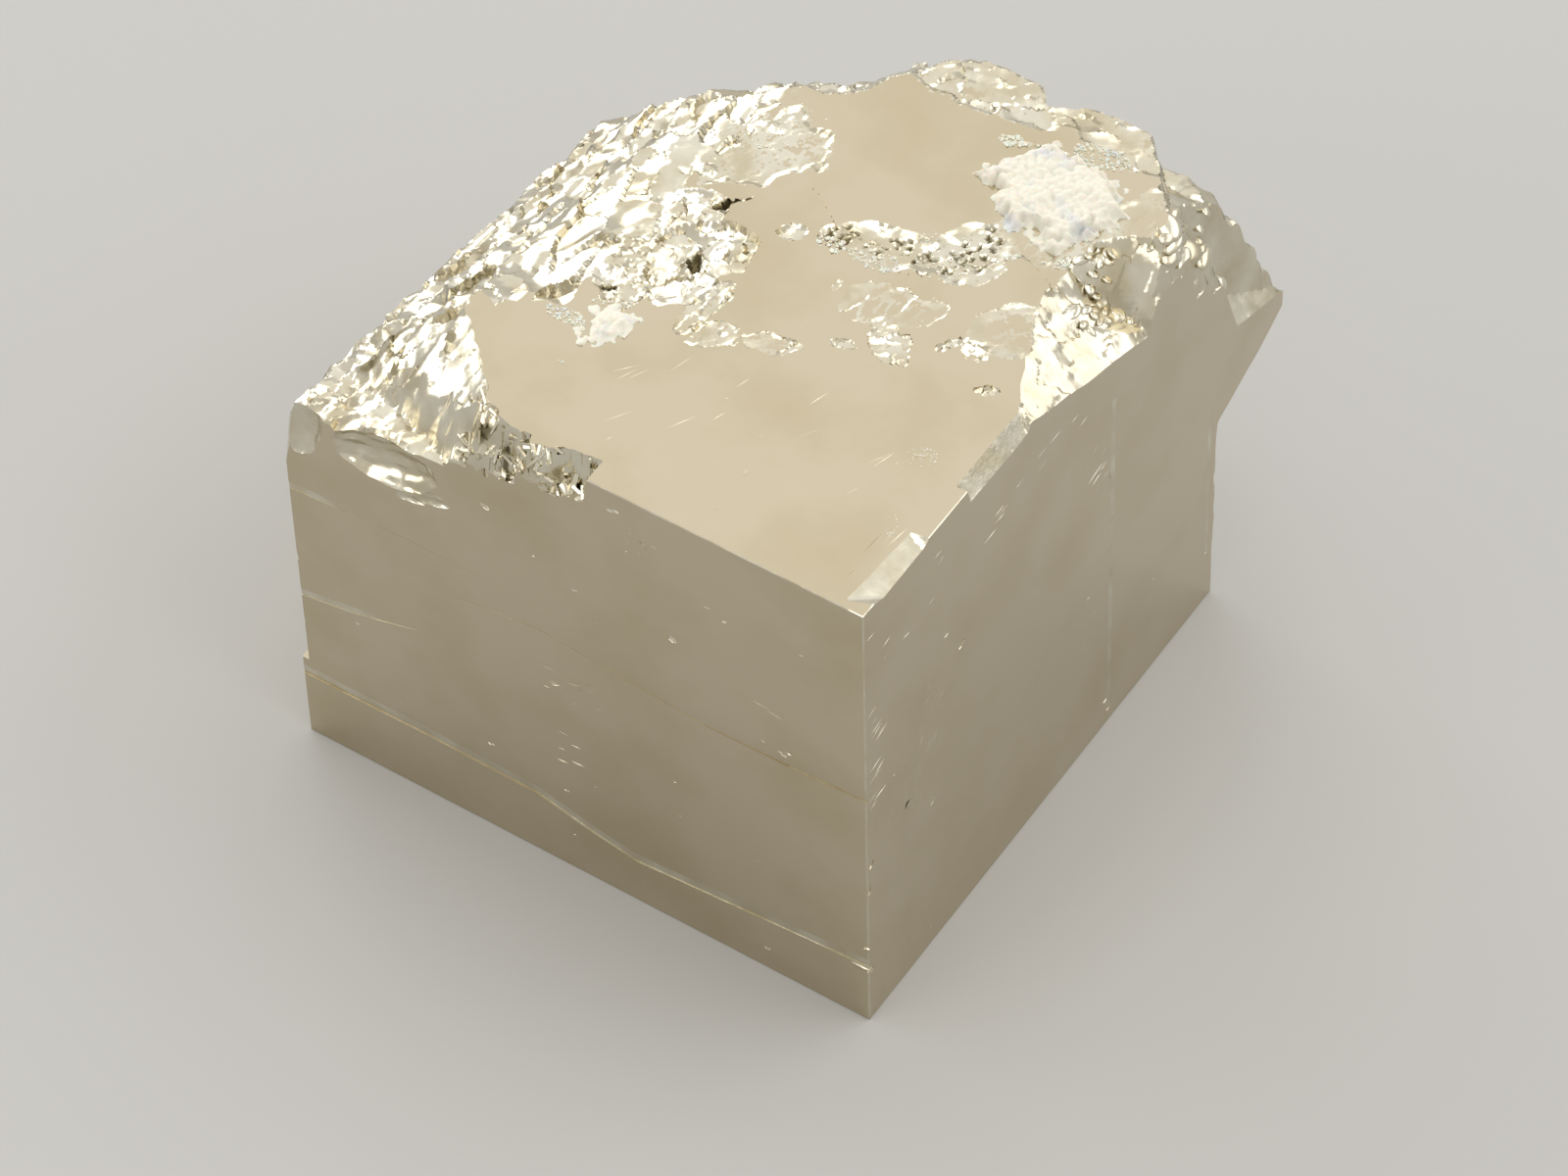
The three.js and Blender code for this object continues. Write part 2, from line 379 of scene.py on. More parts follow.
@dataclass(frozen=True)
class Zone:
    """A shallow broken patch of the top face.

    Attributes:
        areas: Where it lies.
        sink: How far its bottom lies below the face.
        texture: Relief of its bottom.
        ragged: How far its border strays.
        step: Share of the way in over which it sinks.
        walls: Planes that it doesn't pass.
        climb: Rise outside the border, which keeps the cut clear of the face there.
    """

    areas: tuple[Oval, ...]
    sink: float
    texture: Plates | Hollows
    ragged: float = 0.35
    step: float = 0.3
    walls: tuple[Break, ...] = ()
    climb: float = 4.0

    def fill(self, x: Field, y: Field) -> Field:
        """Tells how far inside the ragged border each place lies.

        Args:
            x: Places along X.
            y: Places along Y.

        Returns:
            More than 0 inside it and less outside it.
        """
        seed = self.texture.seed
        fill = np.maximum.reduce([oval.fill(x, y) for oval in self.areas])
        return (fill + self.ragged * swell(x / 1.9, y / 1.9, seed + 8)
                + 0.5 * self.ragged * swell(x / 0.7, y / 0.7, seed + 9))

    def height(self, x: Field, y: Field, face: Field) -> Field:
        """Works out the patch.

        Args:
            x: Places along X.
            y: Places along Y.
            face: Height of the face that it lies in.

        Returns:
            Its height, which is above the face outside it.
        """
        fill = self.fill(x, y)
        bottom = face - self.sink * ease(fill, 0.0, self.step) + self.climb * np.maximum(0.0, -fill)
        bottom = bottom + self.texture.height(x, y) * ease(fill, -0.15, 0.15)
        return np.maximum.reduce([bottom, *(wall.height(x, y) for wall in self.walls)])


@dataclass(frozen=True)
class Crown:
    """The sheet that cuts the crystal from above: slopes, hollows, notches and a low terrace.

    Attributes:
        left: The big broken slope at the left.
        corner: The slope at the far left corner.
        shoulder: The gentle fall between the top and the left slope.
        scoop: The broken hollow at the near left corner.
        scoop_side: Its inner side.
        right: The chipped band along the right edge.
        right_step: The steep step at the band's far end.
        right_wall: The wall above that step.
        back: The break along the far edge.
        end: The break at the far right corner.
        rim: The steep break of the right edge near that corner.
        front_notch: The notch in the front edge, its wall first.
        edge_bevel: A small chip in the right edge.
        end_step: The ledge below the rim.
        nose_facet: Small facets of the overhanging corner, with the planes that bound them.
        folded_chip: The thin chip by the near corner.
        lumps: Low bumps and dips of the slopes, each with its rise.
        ledge: A small bright facet at the left.
        ledge_area: Where that facet lies.
        crest: Area of the hollow behind the far left crest.
        crest_top: Height of that hollow's border.
        crest_depth: Its depth.
        terrace: Line in x and y behind which the top lies lower.
        step_height: Height of the steps in the slopes.
        chip_foot: Height of the chip in the left front edge where it starts.
        chip_climb: Climb of that chip, as rise over run.
        coarse: Large relief of every break.
        fine: Small relief of every break.
        splinters: Relief of the left and far left slopes.
        shards: Relief of the right and far slopes.
        sticks: Relief of the notch's wall.
        scales: Plates of the scoop.
        lobes: Hollows of the scoop.
        petals: Relief of the far right corner.
        streaks: Fine streaks of the right edge.
        flakes: Relief of the small breaks.
        pits: The little pits.
        pit_band: Where the pits lie.
        dark_patches: Where the broken metal is dark without pits.
        cracks: The larger cracks.
    """

    left: Break = Break((-42, 8), 171.5, 45.5)
    corner: Break = Break((-35.6, 40.5), 133.8, 49.7)
    shoulder: tuple[Break, ...] = (
        Break((-36.2, 20), 171.5, 14),
        Break((-39.5, 12.8), 118, 17),
    )
    scoop: tuple[Break, ...] = (
        Break((-38.4, 5.8), -135, 46),
        Break((-45, 0), -135, 12, 41.9),
    )
    scoop_side: tuple[Break, ...] = (
        Break((-37.2, 3.6), -112, 66),
        Break((-39, 0), 183, 9, 43.2),
    )
    right: Break = Break((-0.5, 22), 24.6, 42)
    right_step: Break = Break((-6.4, 34), -8.3, 60)
    right_wall: Break = Break((-4.6, 41.6), -50, 60)
    back: Break = Break((-15, 52.7), 90, 69)
    end: Break = Break((-3.4, 49.9), 58, 60)
    rim: Break = Break((-2.2, 45.5), 13, 74)
    front_notch: tuple[Break, ...] = (
        Break((-30, 1.7), -90, 78),
        Break((-24.6, 0), 180, 76),
        Break((-14.5, 0), 180, 15),
    )
    edge_bevel: tuple[Break, ...] = (
        Break((-1, 18), 0, 58),
        Break((0, 14.2), 90, 75),
        Break((0, 23.5), -90, 60),
    )
    end_step: tuple[Break, ...] = (
        Break((-1.3, 45.2), 40.5, 79),
        Break((-4, 39), 75, 22),
    )
    nose_facet: tuple[Break, ...] = (
        Break((0, 54), 14, 55, 30.5),
        Break((-1.6, 55.1), -7, 84, 32.4),
        Break((0, 52.1), 80, 71, 36.1),
    )
    folded_chip: tuple[Break, ...] = (
        Break((-1.7, 5.0), -4, 15),
        Break((-0.8, 8.8), -80, 26),
        Break((-1.2, 1.0), 112, 24),
    )
    lumps: tuple[tuple[Oval, float], ...] = (
        (Oval((-46.9, 13.8), (1.7, 1.5)), 1.4),
        (Oval((-44.6, 29.6), (2.2, 3.0)), -0.8),
        (Oval((-47.0, 4.5), (2.2, 3.5)), -0.8),
        (Oval((-32.4, 47.6), (6.0, 5.5)), -1.3),
    )
    ledge: Break = Break((-47.8, 12.2), -168, 24.5, 43.1)
    ledge_area: Oval = Oval((-47.8, 12.2), (1.4, 1.1), 10)
    crest: Oval = Oval((-33.4, 48.0), (6.0, 6.0))
    crest_top: float = 52.0
    crest_depth: float = 5.0
    terrace: tuple[Place, ...] = (
        (-54, 28), (-33, 27.5), (-30, 30.5), (-26.5, 34), (-23, 32), (-19, 31), (-13, 33),
        (-9, 36), (-4, 34), (2, 33))
    step_height: float = 3.2
    chip_foot: float = 31.0
    chip_climb: float = 4.5
    coarse: Hollows = Hollows(3.3, 3, tilt=0.34, flat=3.0)
    fine: Hollows = Hollows(0.8, 71, 1.6, 80, tilt=0.18, flat=5.0)
    splinters: Plates = Plates(1.9, 61, 2.3, 97, 0.35, tilt=0.38, cliff=0.1, seam=0.03)
    shards: Plates = Plates(1.5, 65, 2.6, 84, 0.3, tilt=0.22, cliff=0.1, seam=0.04)
    sticks: Plates = Plates(0.8, 67, 3.2, 12, 0.2, tilt=0.3, cliff=0.4, lean=(0.05, -0.75))
    scales: Plates = Plates(1.5, 111, 1.8, 45, 0.35, tilt=0.22, cliff=0.08, lean=(0.07, 0.07))
    lobes: Hollows = Hollows(2.2, 77, 2.4, 45, 0.3, tilt=0.26, flat=2.8)
    petals: Hollows = Hollows(2.3, 75, 1.3, 140, 0.3, tilt=0.5, flat=2.4)
    streaks: Plates = Plates(0.5, 79, 6.0, 76, 0.2, tilt=0.3, cliff=0.04)
    flakes: Plates = Plates(1.3, 69, 1.5, 60, 0.35, tilt=0.25, cliff=0.1, seam=0.04)
    pits: Pits = Pits(0.6, 41, 0.8, 20, 0.3, width=0.75, depth=0.32, share=0.6)
    pit_band: tuple[Oval, ...] = (
        Oval((-22.0, 30.6), (1.9, 1.5), 20),
        Oval((-17.6, 32.2), (4.6, 1.3), 20),
        Oval((-12.6, 34.4), (2.0, 3.6), -15),
        Oval((-14.6, 30.4), (1.6, 0.7), 20),
        Oval((-13.4, 46.8), (2.4, 0.5), 15),
    )
    dark_patches: tuple[Oval, ...] = (
        Oval((-49.2, 6.0), (1.9, 0.9), 70),
        Oval((-48.2, 8.4), (1.2, 0.5), 60),
        Oval((-34.4, 1.0), (0.7, 0.4), 0),
        Oval((-32.4, 0.8), (0.5, 0.5), 0),
    )
    cracks: tuple[Oval, ...] = (
        Oval((-30.8, 29.2), (1.9, 0.36), 50),
        Oval((-29.9, 22.7), (0.8, 0.5), 100),
        Oval((-34.0, 17.0), (0.7, 0.2), 20),
    )

    @property
    def zones(self) -> tuple[Zone, ...]:
        """Lists the shallow broken patches of the top.

        Returns:
            The patches.
        """
        toward_lamp = (-0.212, 0.271)
        return (
            Zone((Oval((-33.4, 20.6), (3.4, 5.2), 0), Oval((-33.0, 26.6), (3.4, 2.6), 40)), 0.25,
                 Plates(0.9, 81, 1.4, 70, 0.4, tilt=0.3, cliff=0.1, seam=0.05)),
            Zone((Oval((-29.4, 24.4), (4.4, 2.9), 20), Oval((-30.0, 20.6), (3.0, 2.8), 0)), 0.6,
                 Plates(1.25, 83, 1.4, 60, 0.35, tilt=0.24, cliff=0.2, seam=0.1,
                        lean=toward_lamp), 0.2, 0.2,
                 (Break((-26.4, 25.5), 190, 72),)),
            Zone((Oval((-29.7, 19.4), (1.2, 2.5), -14),), 0.45,
                 Plates(4.0, 85, tilt=0.06, lean=toward_lamp), 0.1),
            Zone((Oval((-26.6, 19.0), (1.3, 3.6), -6),), 0.14,
                 Plates(0.42, 87, 6.0, 94, 0.3, tilt=0.6, cliff=0.05)),
            Zone((Oval((-31.8, 35.6), (6.0, 3.2), 50),), 0.16,
                 Hollows(0.85, 89, 1.3, 60, 0.3, tilt=0.09, flat=6.0), 0.5),
            Zone((Oval((-36.6, 36.4), (2.4, 3.6), -50),), 0.3,
                 Plates(1.1, 91, 1.6, 120, 0.3, tilt=0.2, cliff=0.1), 0.4),
            Zone((Oval((-18.0, 31.8), (6.2, 2.4), 14), Oval((-12.8, 34.4), (3.0, 4.0), 10)), 0.2,
                 Hollows(1.1, 93, 1.3, 30, 0.3, tilt=0.05, flat=12.0), 0.4, 0.9),
            Zone((Oval((-25.4, 29.0), (1.4, 1.1), 30),), 0.3,
                 Plates(1.9, 95, tilt=0.34, cliff=0.2), 0.3),
            Zone((Oval((-13.2, 23.6), (2.5, 1.5), -30), Oval((-16.0, 21.4), (1.6, 0.7), 20)), 0.16,
                 Plates(0.9, 97, 1.4, 40, 0.3, tilt=0.15, cliff=0.06), 0.9),
            Zone((Oval((-6.6, 26.2), (1.6, 1.0), 30), Oval((-8.8, 26.0), (1.2, 0.5), 60),
                  Oval((-4.4, 23.2), (1.2, 0.5), 30)), 0.16,
                 Plates(0.9, 99, tilt=0.2, cliff=0.06, lean=toward_lamp), 0.8),
            Zone((Oval((-5.6, 29.4), (2.8, 3.6), -42),), 0.12,
                 Plates(2.6, 103, 1.4, 40, 0.3, tilt=0.04), 0.15, 0.6),
            Zone((Oval((-7.6, 40.0), (5.4, 3.2), 30), Oval((-3.2, 44.0), (2.6, 4.4), -10)), 0.1,
                 Plates(0.7, 105, 8.0, 74, 0.2, tilt=0.07, cliff=0.02), 0.3),
            Zone((Oval((-21.5, 51.2), (9.5, 3.2), 0), Oval((-9.5, 51.4), (6.5, 2.4), -8)), 0.3,
                 Plates(1.7, 107, 1.5, 20, 0.3, tilt=0.15, cliff=0.1), 0.4),
            Zone((Oval((-24.6, 16.8), (3.0, 1.3), 35), Oval((-20.4, 18.6), (2.4, 1.0), 20)), 0.1,
                 Plates(1.0, 123, 1.8, 60, 0.3, tilt=0.15, cliff=0.05), 0.8),
            Zone((Oval((-15.4, 26.4), (5.0, 2.0), 25),), 0.05,
                 Plates(2.4, 125, 1.8, 74, 0.3, tilt=0.06, cliff=0.02), 0.5, 0.8),
        )

    def stepped(self, height: Field, x: Field, y: Field, step: float, low: float) -> Field:
        """Turns an even slope into treads and risers of the same mean slope.

        Args:
            height: Height of the even slope.
            x: Places along X.
            y: Places along Y.
            step: Height of a step.
            low: Slope of a tread over the mean slope.

        Returns:
            The stepped height.
        """
        waver = 2.2 * swell(x / 9, y / 9, 11) + 0.3 * step * swell(x / 1.7, y / 1.7, 12)
        level = (height + waver) / step
        whole = np.floor(level)
        rest = level - whole
        tread = 0.68
        high = low * tread + (rest - tread) * (1 - low * tread) / (1 - tread)
        rise = np.where(rest < tread, low * rest, high)
        return (whole + rise) * step - waver + 0.22 * step

    def pit_depth(self, x: Field, y: Field) -> Field:
        """Works out the little pits and cracks.

        Args:
            x: Places along X.
            y: Places along Y.

        Returns:
            Their depth.
        """
        ragged = 0.5 * swell(x / 1.3, y / 1.3, 43)
        band = np.maximum.reduce([oval.fill(x, y) for oval in self.pit_band]) + ragged
        crack = np.maximum.reduce([oval.fill(x, y) for oval in self.cracks])
        crack = crack + 0.5 * swell(x / 0.6, y / 0.6, 44)
        pits = self.pits.depth_at(x, y) * ease(band, 0.0, 0.35)
        return np.maximum(pits, 0.8 * ease(crack, 0.2, 0.8))

    def shade_and_dark_patches(self, x: Field, y: Field) -> Field:
        """Works out the painted shade in the pits and cracks and the dark patches of the broken
        metal.

        Args:
            x: Places along X.
            y: Places along Y.

        Returns:
            A field from 0 to 1.
        """
        patch = np.maximum.reduce([oval.fill(x, y) for oval in self.dark_patches])
        patch = patch + 0.8 * swell(x / 0.6, y / 0.6, 45)
        # The pits and cracks get painted shade; the dark patches are only darker and duller there.
        return np.maximum(ease(self.pit_depth(x, y), 0.03, 0.15), 0.9 * ease(patch, 0.1, 0.5))

    def height(self, x: Field, y: Field) -> Field:
        """Joins all the breaks to one sheet.

        Args:
            x: Places along X.
            y: Places along Y.

        Returns:
            Its height.
        """
        # Warped coordinates bend the straight borders of the smaller breaks.
        coarse, fine = self.coarse.height(x, y), self.fine.height(x, y)
        warp_x = x + 0.45 * swell(x / 1.1, y / 1.1, 47) + 0.7 * swell(x / 3.7, y / 3.7, 48)
        warp_y = y + 0.45 * swell(x / 1.1, y / 1.1, 49) + 0.7 * swell(x / 3.7, y / 3.7, 50)
        left = 0.6 * coarse + self.splinters.height(x, y) + 0.35 * fine
        streaks = self.streaks.height(x, y)
        right = 0.4 * coarse + self.shards.height(x, y) + 0.4 * fine + 0.5 * streaks
        flakes = 0.5 * coarse + self.flakes.height(x, y) + 0.5 * fine
        slopes = np.minimum(self.left.height(x, y), self.corner.height(x, y))
        slopes = slopes + sum(rise * ease(oval.fill(x, y), 0.0, 0.6) for oval, rise in self.lumps)
        # The scoop carries fine rings, as where glass has broken.
        rings = 0.03 * np.sin(5.0 * (self.scoop[0].height(x, y) + swell(x / 2.6, y / 2.6, 15)))
        scoop = wedge(self.scoop, x, y) + self.lobes.height(x, y) + self.scales.height(x, y) + rings
        steps = np.minimum(self.back.height(x, y), self.end.height(x, y))
        stairs = np.maximum(self.right_step.height(x, y), self.right_wall.height(x, y))
        stairs = stairs - 1.3 * self.petals.height(0.6 * stairs, y)
        band = np.maximum(self.right.height(x, y), stairs) + 0.8 * right
        rim = self.rim.height(warp_x, warp_y)
        rim = self.stepped(rim, x, y, 1.7, 0.4) - 1.6 * self.petals.height(0.5 * rim, y)
        wall = self.front_notch[0].height(warp_x, warp_y)
        wall = wall + 1.3 * self.sticks.height(x, wall)
        notch = np.maximum(wall, wedge(self.front_notch[1:], warp_x, y) + 0.6 * flakes)
        crest = self.crest_top - self.crest_depth * np.sqrt(
            np.maximum(0.0, self.crest.fill(x, y)))
        edge = np.interp(x, *zip(*self.terrace)) + 0.8 * swell(x / 2.3, 0 * x, 21)
        pit = self.pit_depth(x, y)
        face = np.where(y > edge, HEIGHT - TERRACE_DROP, HEIGHT)
        # Every break is a sheet over the whole top, and the lowest one counts at each place.
        parts = [
            self.stepped(slopes, x, y, self.step_height, 0.4) + left,
            wedge(self.shoulder, x, y) + 0.8 * left - 0.15,
            scoop,
            wedge(self.scoop_side, warp_x, warp_y) + 0.5 * flakes,
            self.stepped(steps, x, y, self.step_height, 0.4) + right,
            crest + left,
            self.ledge.height(x, y) + 6.0 * np.maximum(0.0, -self.ledge_area.fill(x, y)),
            rim + 0.3 * right,
            wedge(self.end_step, x, y) - 0.8 * self.petals.height(x, y) + 0.3 * right,
            wedge(self.nose_facet, x, y) + 0.3 * streaks,
            band,
            self.chip_foot + self.chip_climb * (x + FRONT + y) + 0.5 * left,
            notch,
            wedge(self.edge_bevel, x, y) + 0.12 * right,
            wedge(self.folded_chip, x, y) + 0.1 * streaks,
            np.where((y > edge) | (pit > 0.02), face - pit, HEIGHT + MARGIN),
            np.full(np.shape(x), HEIGHT + MARGIN),
        ]
        parts += [zone.height(x, y, face) + 0.25 * fine - pit for zone in self.zones]
        return np.minimum.reduce(parts)

    def surface(self, x: Field, y: Field) -> Field:
        """Gives the height of the finished top over x and y."""
        return np.minimum(self.height(x, y), HEIGHT)

    def level(self, x: float, y: float) -> float:
        """Gives the height of the finished top at one place."""
        return float(self.surface(np.array([x]), np.array([y]))[0])


@dataclass(frozen=True)
class BackSheet:
    """The sheet that cuts the crystal from behind and leaves the overhang.

    Attributes:
        foot: Height where the overhang starts.
        nose: Height where it reaches farthest.
        fade: Place along X where it starts.
        full: Place along X from which it is full.
        trim: Its reach over the mean overhang.
        peak: Area in x and z that bulges a little farther.
        peak_depth: How far that area bulges.
        coarse: Relief of lumps.
        plates: Relief of plates.
    """

    foot: float = 21.3
    nose: float = 29.0
    fade: float = -25.0
    full: float = -6.0
    trim: float = 1.18
    peak: Oval = Oval((-21.4, 50.5), (5.2, 6.0))
    peak_depth: float = 1.5
    coarse: Hollows = Hollows(3.3, 31, tilt=0.42, flat=2.4)
    plates: Plates = Plates(2.6, 35, 1.8, 75, 0.3, tilt=0.3, cliff=0.15, seam=0.08)

    def depth(self, x: Field, z: Field) -> Field:
        """Works out the back.

        Args:
            x: Places along X.
            z: Places along Z.

        Returns:
            How far back the crystal reaches.
        """
        along = ease(x, self.fade, self.full)
        under = ease(z, self.foot, self.nose)
        over = 1 - 0.85 * ease(z, self.nose, HEIGHT)
        swelling = self.trim * OVERHANG * along * np.sqrt(under) * over
        rough = self.coarse.height(x, z) + self.plates.height(x, z)
        rough = rough * np.minimum(1.0, 0.12 * np.maximum(z, 0.0))
        peak = self.peak_depth * ease(self.peak.fill(x, z), 0.0, 0.6)
        return SIDE + swelling + peak + rough * (0.25 + 0.75 * under)


# ---- meshes ----


class Axis(Enum):
    """The direction that a sheet's heights are measured in."""

    UP = "up"
    BACK = "back"


class Side(Enum):
    """The natural faces that carry marks."""

    FRONT = "front"
    RIGHT = "right"
    TOP = "top"
    LEFT = "left"

    def plane(self) -> Matrix:
        """Places the face in the crystal.

        Returns:
            The matrix from the face's own u, v and outward directions to the crystal's.
        """
        columns = {
            Side.FRONT: ((1, 0, 0), (0, 0, 1), (0, -1, 0), (0, 0, 0)),
            Side.RIGHT: ((0, 1, 0), (0, 0, 1), (1, 0, 0), (0, 0, 0)),
            Side.TOP: ((1, 0, 0), (0, 1, 0), (0, 0, 1), (0, 0, HEIGHT)),
            Side.LEFT: ((0, -1, 0), (0, 0, 1), (-1, 0, 0), (LEDGE_DEPTH - FRONT, 0, 0)),
        }[self]
        return Matrix([(*column, 0) for column in columns[:3]]
                      + [(*columns[3], 1)]).transposed()


class Boolean(Enum):
    """What a tool does to a piece."""

    CUT = "DIFFERENCE"
    ADD = "UNION"
    KEEP = "INTERSECT"


def sheet_block(low: Place, high: Place, cell: float, sheet: Callable[[Field, Field], Field],
                far: float, axis: Axis) -> bmesh.types.BMesh:
    """Makes the closed block between an uneven sheet and a flat far side.

    Args:
        low: Low corner of the sheet in its two directions.
        high: High corner of the sheet.
        cell: Width of a mesh cell.
        sheet: Gives the sheet's height for two coordinate fields.
        far: Height of the flat far side.
        axis: Direction in which the heights are measured.

    Returns:
        The closed block.
    """
    span = (high[0] - low[0], high[1] - low[1])
    bm = bmesh.new()
    bmesh.ops.create_grid(bm, x_segments=round(span[0] / cell), y_segments=round(span[1] / cell),
                          size=0.5)
    over = list(bm.verts)
    u = np.array([low[0] + (vert.co.x + 0.5) * span[0] for vert in over])
    v = np.array([low[1] + (vert.co.y + 0.5) * span[1] for vert in over])
    inner = np.array([not vert.is_boundary for vert in over])
    i, j = np.round(u / cell), np.round(v / cell)
    u = u + inner * (chance(i, j, 51) - 0.5) * STRAY * cell
    v = v + inner * (chance(i, j, 52) - 0.5) * STRAY * cell
    rim = [edge for edge in bm.edges if edge.is_boundary]
    for vert, place in zip(over, zip(u, v, sheet(u, v))):
        vert.co = place
    made = bmesh.ops.extrude_edge_only(bm, edges=rim)["geom"]
    for item in made:
        if isinstance(item, bmesh.types.BMVert):
            item.co.z = far
    bmesh.ops.contextual_create(bm, geom=[edge for edge in bm.edges if edge.is_boundary])
    if axis is Axis.BACK:
        for vert in bm.verts:
            vert.co = Vector((vert.co.x, vert.co.z, vert.co.y))
    bmesh.ops.recalc_face_normals(bm, faces=bm.faces)
    return bm


def block(low: Vector, high: Vector) -> bmesh.types.BMesh:
    """Makes a plain block between two corners.

    Args:
        low: Low corner.
        high: High corner.

    Returns:
        The block.
    """
    bm = bmesh.new()
    bmesh.ops.create_cube(bm, size=1.0)
    bmesh.ops.scale(bm, vec=high - low, verts=bm.verts)
    bmesh.ops.translate(bm, vec=(low + high) / 2, verts=bm.verts)
    return bm


def object_from(bm: bmesh.types.BMesh, name: str) -> bpy.types.Object:
    """Turns a bmesh into an object of the scene.

    Args:
        bm: The mesh, which is used up.
        name: Name of the object.

    Returns:
        The object.
    """
    mesh = bpy.data.meshes.new(name)
    bm.to_mesh(mesh)
    bm.free()
    piece = bpy.data.objects.new(name, mesh)
    bpy.context.scene.collection.objects.link(piece)
    return piece


def combine(piece: bpy.types.Object, tool: bmesh.types.BMesh,
            kind: Boolean = Boolean.CUT) -> None:
    """Cuts, adds or keeps a closed shape and splits the many-sided faces that are left.

    Args:
        piece: The object that changes.
        tool: The closed shape, which is used up.
        kind: What the shape does to the object.
    """
    cutter = object_from(tool, "cutter")
    modifier = piece.modifiers.new("cut", "BOOLEAN")
    modifier.operation = kind.value
    modifier.solver = "MANIFOLD"
    modifier.object = cutter
    graph = bpy.context.evaluated_depsgraph_get()
    mesh = bpy.data.meshes.new_from_object(piece.evaluated_get(graph))
    piece.modifiers.clear()
    old = piece.data
    piece.data = mesh
    bpy.data.meshes.remove(old)
    bpy.data.meshes.remove(cutter.data)
    mesh.name = piece.name
    bm = bmesh.new()
    bm.from_mesh(mesh)
    bmesh.ops.triangulate(bm, faces=[face for face in bm.faces if len(face.verts) > MOST_SIDES])
    bm.to_mesh(mesh)
    bm.free()


def settle(piece: bpy.types.Object) -> None:
    """Moves a piece's mesh from crystal millimetres to the frame's metres.

    Args:
        piece: The piece.
    """
    low, high = (Vector(corner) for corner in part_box("pyrite_cube"))
    corner = Matrix.Translation((high.x, low.y, low.z))
    piece.data.transform(corner @ Matrix.Scale(MILLIMETRE, 4))
    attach(piece, BODY)


# ---- marks on the natural faces ----


@dataclass(frozen=True)
class Mark:
    """A scratch or a small chip in a face.

    Attributes:
        at: Its middle on the face.
        size: Its length and width.
        depth: Its depth.
        turn: Direction of its length on the face, in degrees.
    """

    at: Place
    size: Place
    depth: float
    turn: float = 0.0

    def place(self, side: Side) -> Matrix:
        """Places the mark in the crystal.

        Args:
            side: Face that carries it.

        Returns:
            The matrix that carries a unit shape to the mark.
        """
        there = Matrix.Translation((*self.at, PROUD * self.depth))
        turned = Matrix.Rotation(math.radians(self.turn), 4, "Z")
        scaled = Matrix.Diagonal((self.size[0] / 2, self.size[1] / 2, self.depth, 1))
        return side.plane() @ there @ turned @ scaled


@dataclass(frozen=True)
class Swarm:
    """Many like marks over an area.

    Attributes:
        side: Face that carries them.
        low: Low corner of the area.
        high: High corner of the area.
        count: How many there are.
        size: Largest length and width.
        depth: Largest depth.
        turn: Mean direction in degrees.
        spread: Most that a direction differs from the mean.
        seed: Picks the pattern.
    """

    side: Side
    low: Place
    high: Place
    count: int
    size: Place
    depth: float
    turn: float
    spread: float
    seed: float

    def marks(self) -> list[Mark]:
        """Spreads the marks.

        Returns:
            The marks.
        """
        found = []
        for k in range(self.count):
            number = [float(chance(k, n, self.seed)) for n in range(5)]
            share = 0.4 + 0.6 * number[2]
            at = tuple(a + (b - a) * n for a, b, n in zip(self.low, self.high, number))
            size = (self.size[0] * share, self.size[1] * (0.5 + 0.5 * number[3]))
            turn = self.turn + self.spread * (2 * number[4] - 1)
            found.append(Mark(at, size, self.depth * share, turn))
        return found


@dataclass(frozen=True)
class GrowthLine:
    """A low sharp ledge along a face, below a long gentle slope.

    Attributes:
        side: Face that carries it.
        points: Where the ledge runs on the face.
        depth: Depth of the ledge at its two ends.
        reach: Direction and length of the gentle slope on the face.
    """

    side: Side
    points: tuple[Place, ...]
    depth: Place
    reach: Place

    def tool(self) -> bmesh.types.BMesh:
        """Makes the blade that cuts the ledge.

        Returns:
            The closed blade.
        """
        bm = bmesh.new()
        rings = []
        outside = 0.04
        last = len(self.points) - 1
        for k, (u, v) in enumerate(self.points):
            depth = self.depth[0] + (self.depth[1] - self.depth[0]) * k / last
            corners = bmesh.ops.create_circle(bm, segments=3, radius=1.0,
                                              cap_ends=k in (0, last))["verts"]
            for vert, place in zip(corners, (
                    (u, v, outside), (u, v, -depth),
                    (u + self.reach[0], v + self.reach[1], outside))):
                vert.co = place
            rings.append(list({edge for vert in corners for edge in vert.link_edges}))
        for first, second in zip(rings, rings[1:]):
            bmesh.ops.bridge_loops(bm, edges=first + second)
        bmesh.ops.transform(bm, matrix=self.side.plane(), verts=bm.verts)
        bmesh.ops.recalc_face_normals(bm, faces=bm.faces)
        return bm


@dataclass(frozen=True)
class Scar:
    """A shell-shaped hollow in a natural face.

    Attributes:
        centre: Middle of its ellipsoid.
        reach: Half axes of the ellipsoid.
        turn: How far it is turned about Y, in degrees.
    """

    centre: Point
    reach: Point
    turn: float = 0.0

    def tool(self) -> bmesh.types.BMesh:
        """Makes the rippled ball that cuts the scar.

        Returns:
            The closed ball.
        """
        bm = bmesh.new()
        bmesh.ops.create_icosphere(bm, subdivisions=5, radius=1.0)
        x, _, z = np.array([vert.co for vert in bm.verts]).T
        away = np.hypot(x + 0.2, z - 0.9)
        ripple = 0.012 * np.sin(19.0 * away) + 0.03 * swell(3.5 * x + away, 7 * z, 61)
        for vert, share in zip(bm.verts, 1.0 + ripple + 0.02 * swell(9 * x, 9 * z, 62)):
            vert.co *= share
        place = (Matrix.Translation(self.centre)
                 @ Matrix.Rotation(math.radians(self.turn), 4, "Y")
                 @ Matrix.Diagonal((*self.reach, 1)))
        bmesh.ops.transform(bm, matrix=place, verts=bm.verts)
        return bm


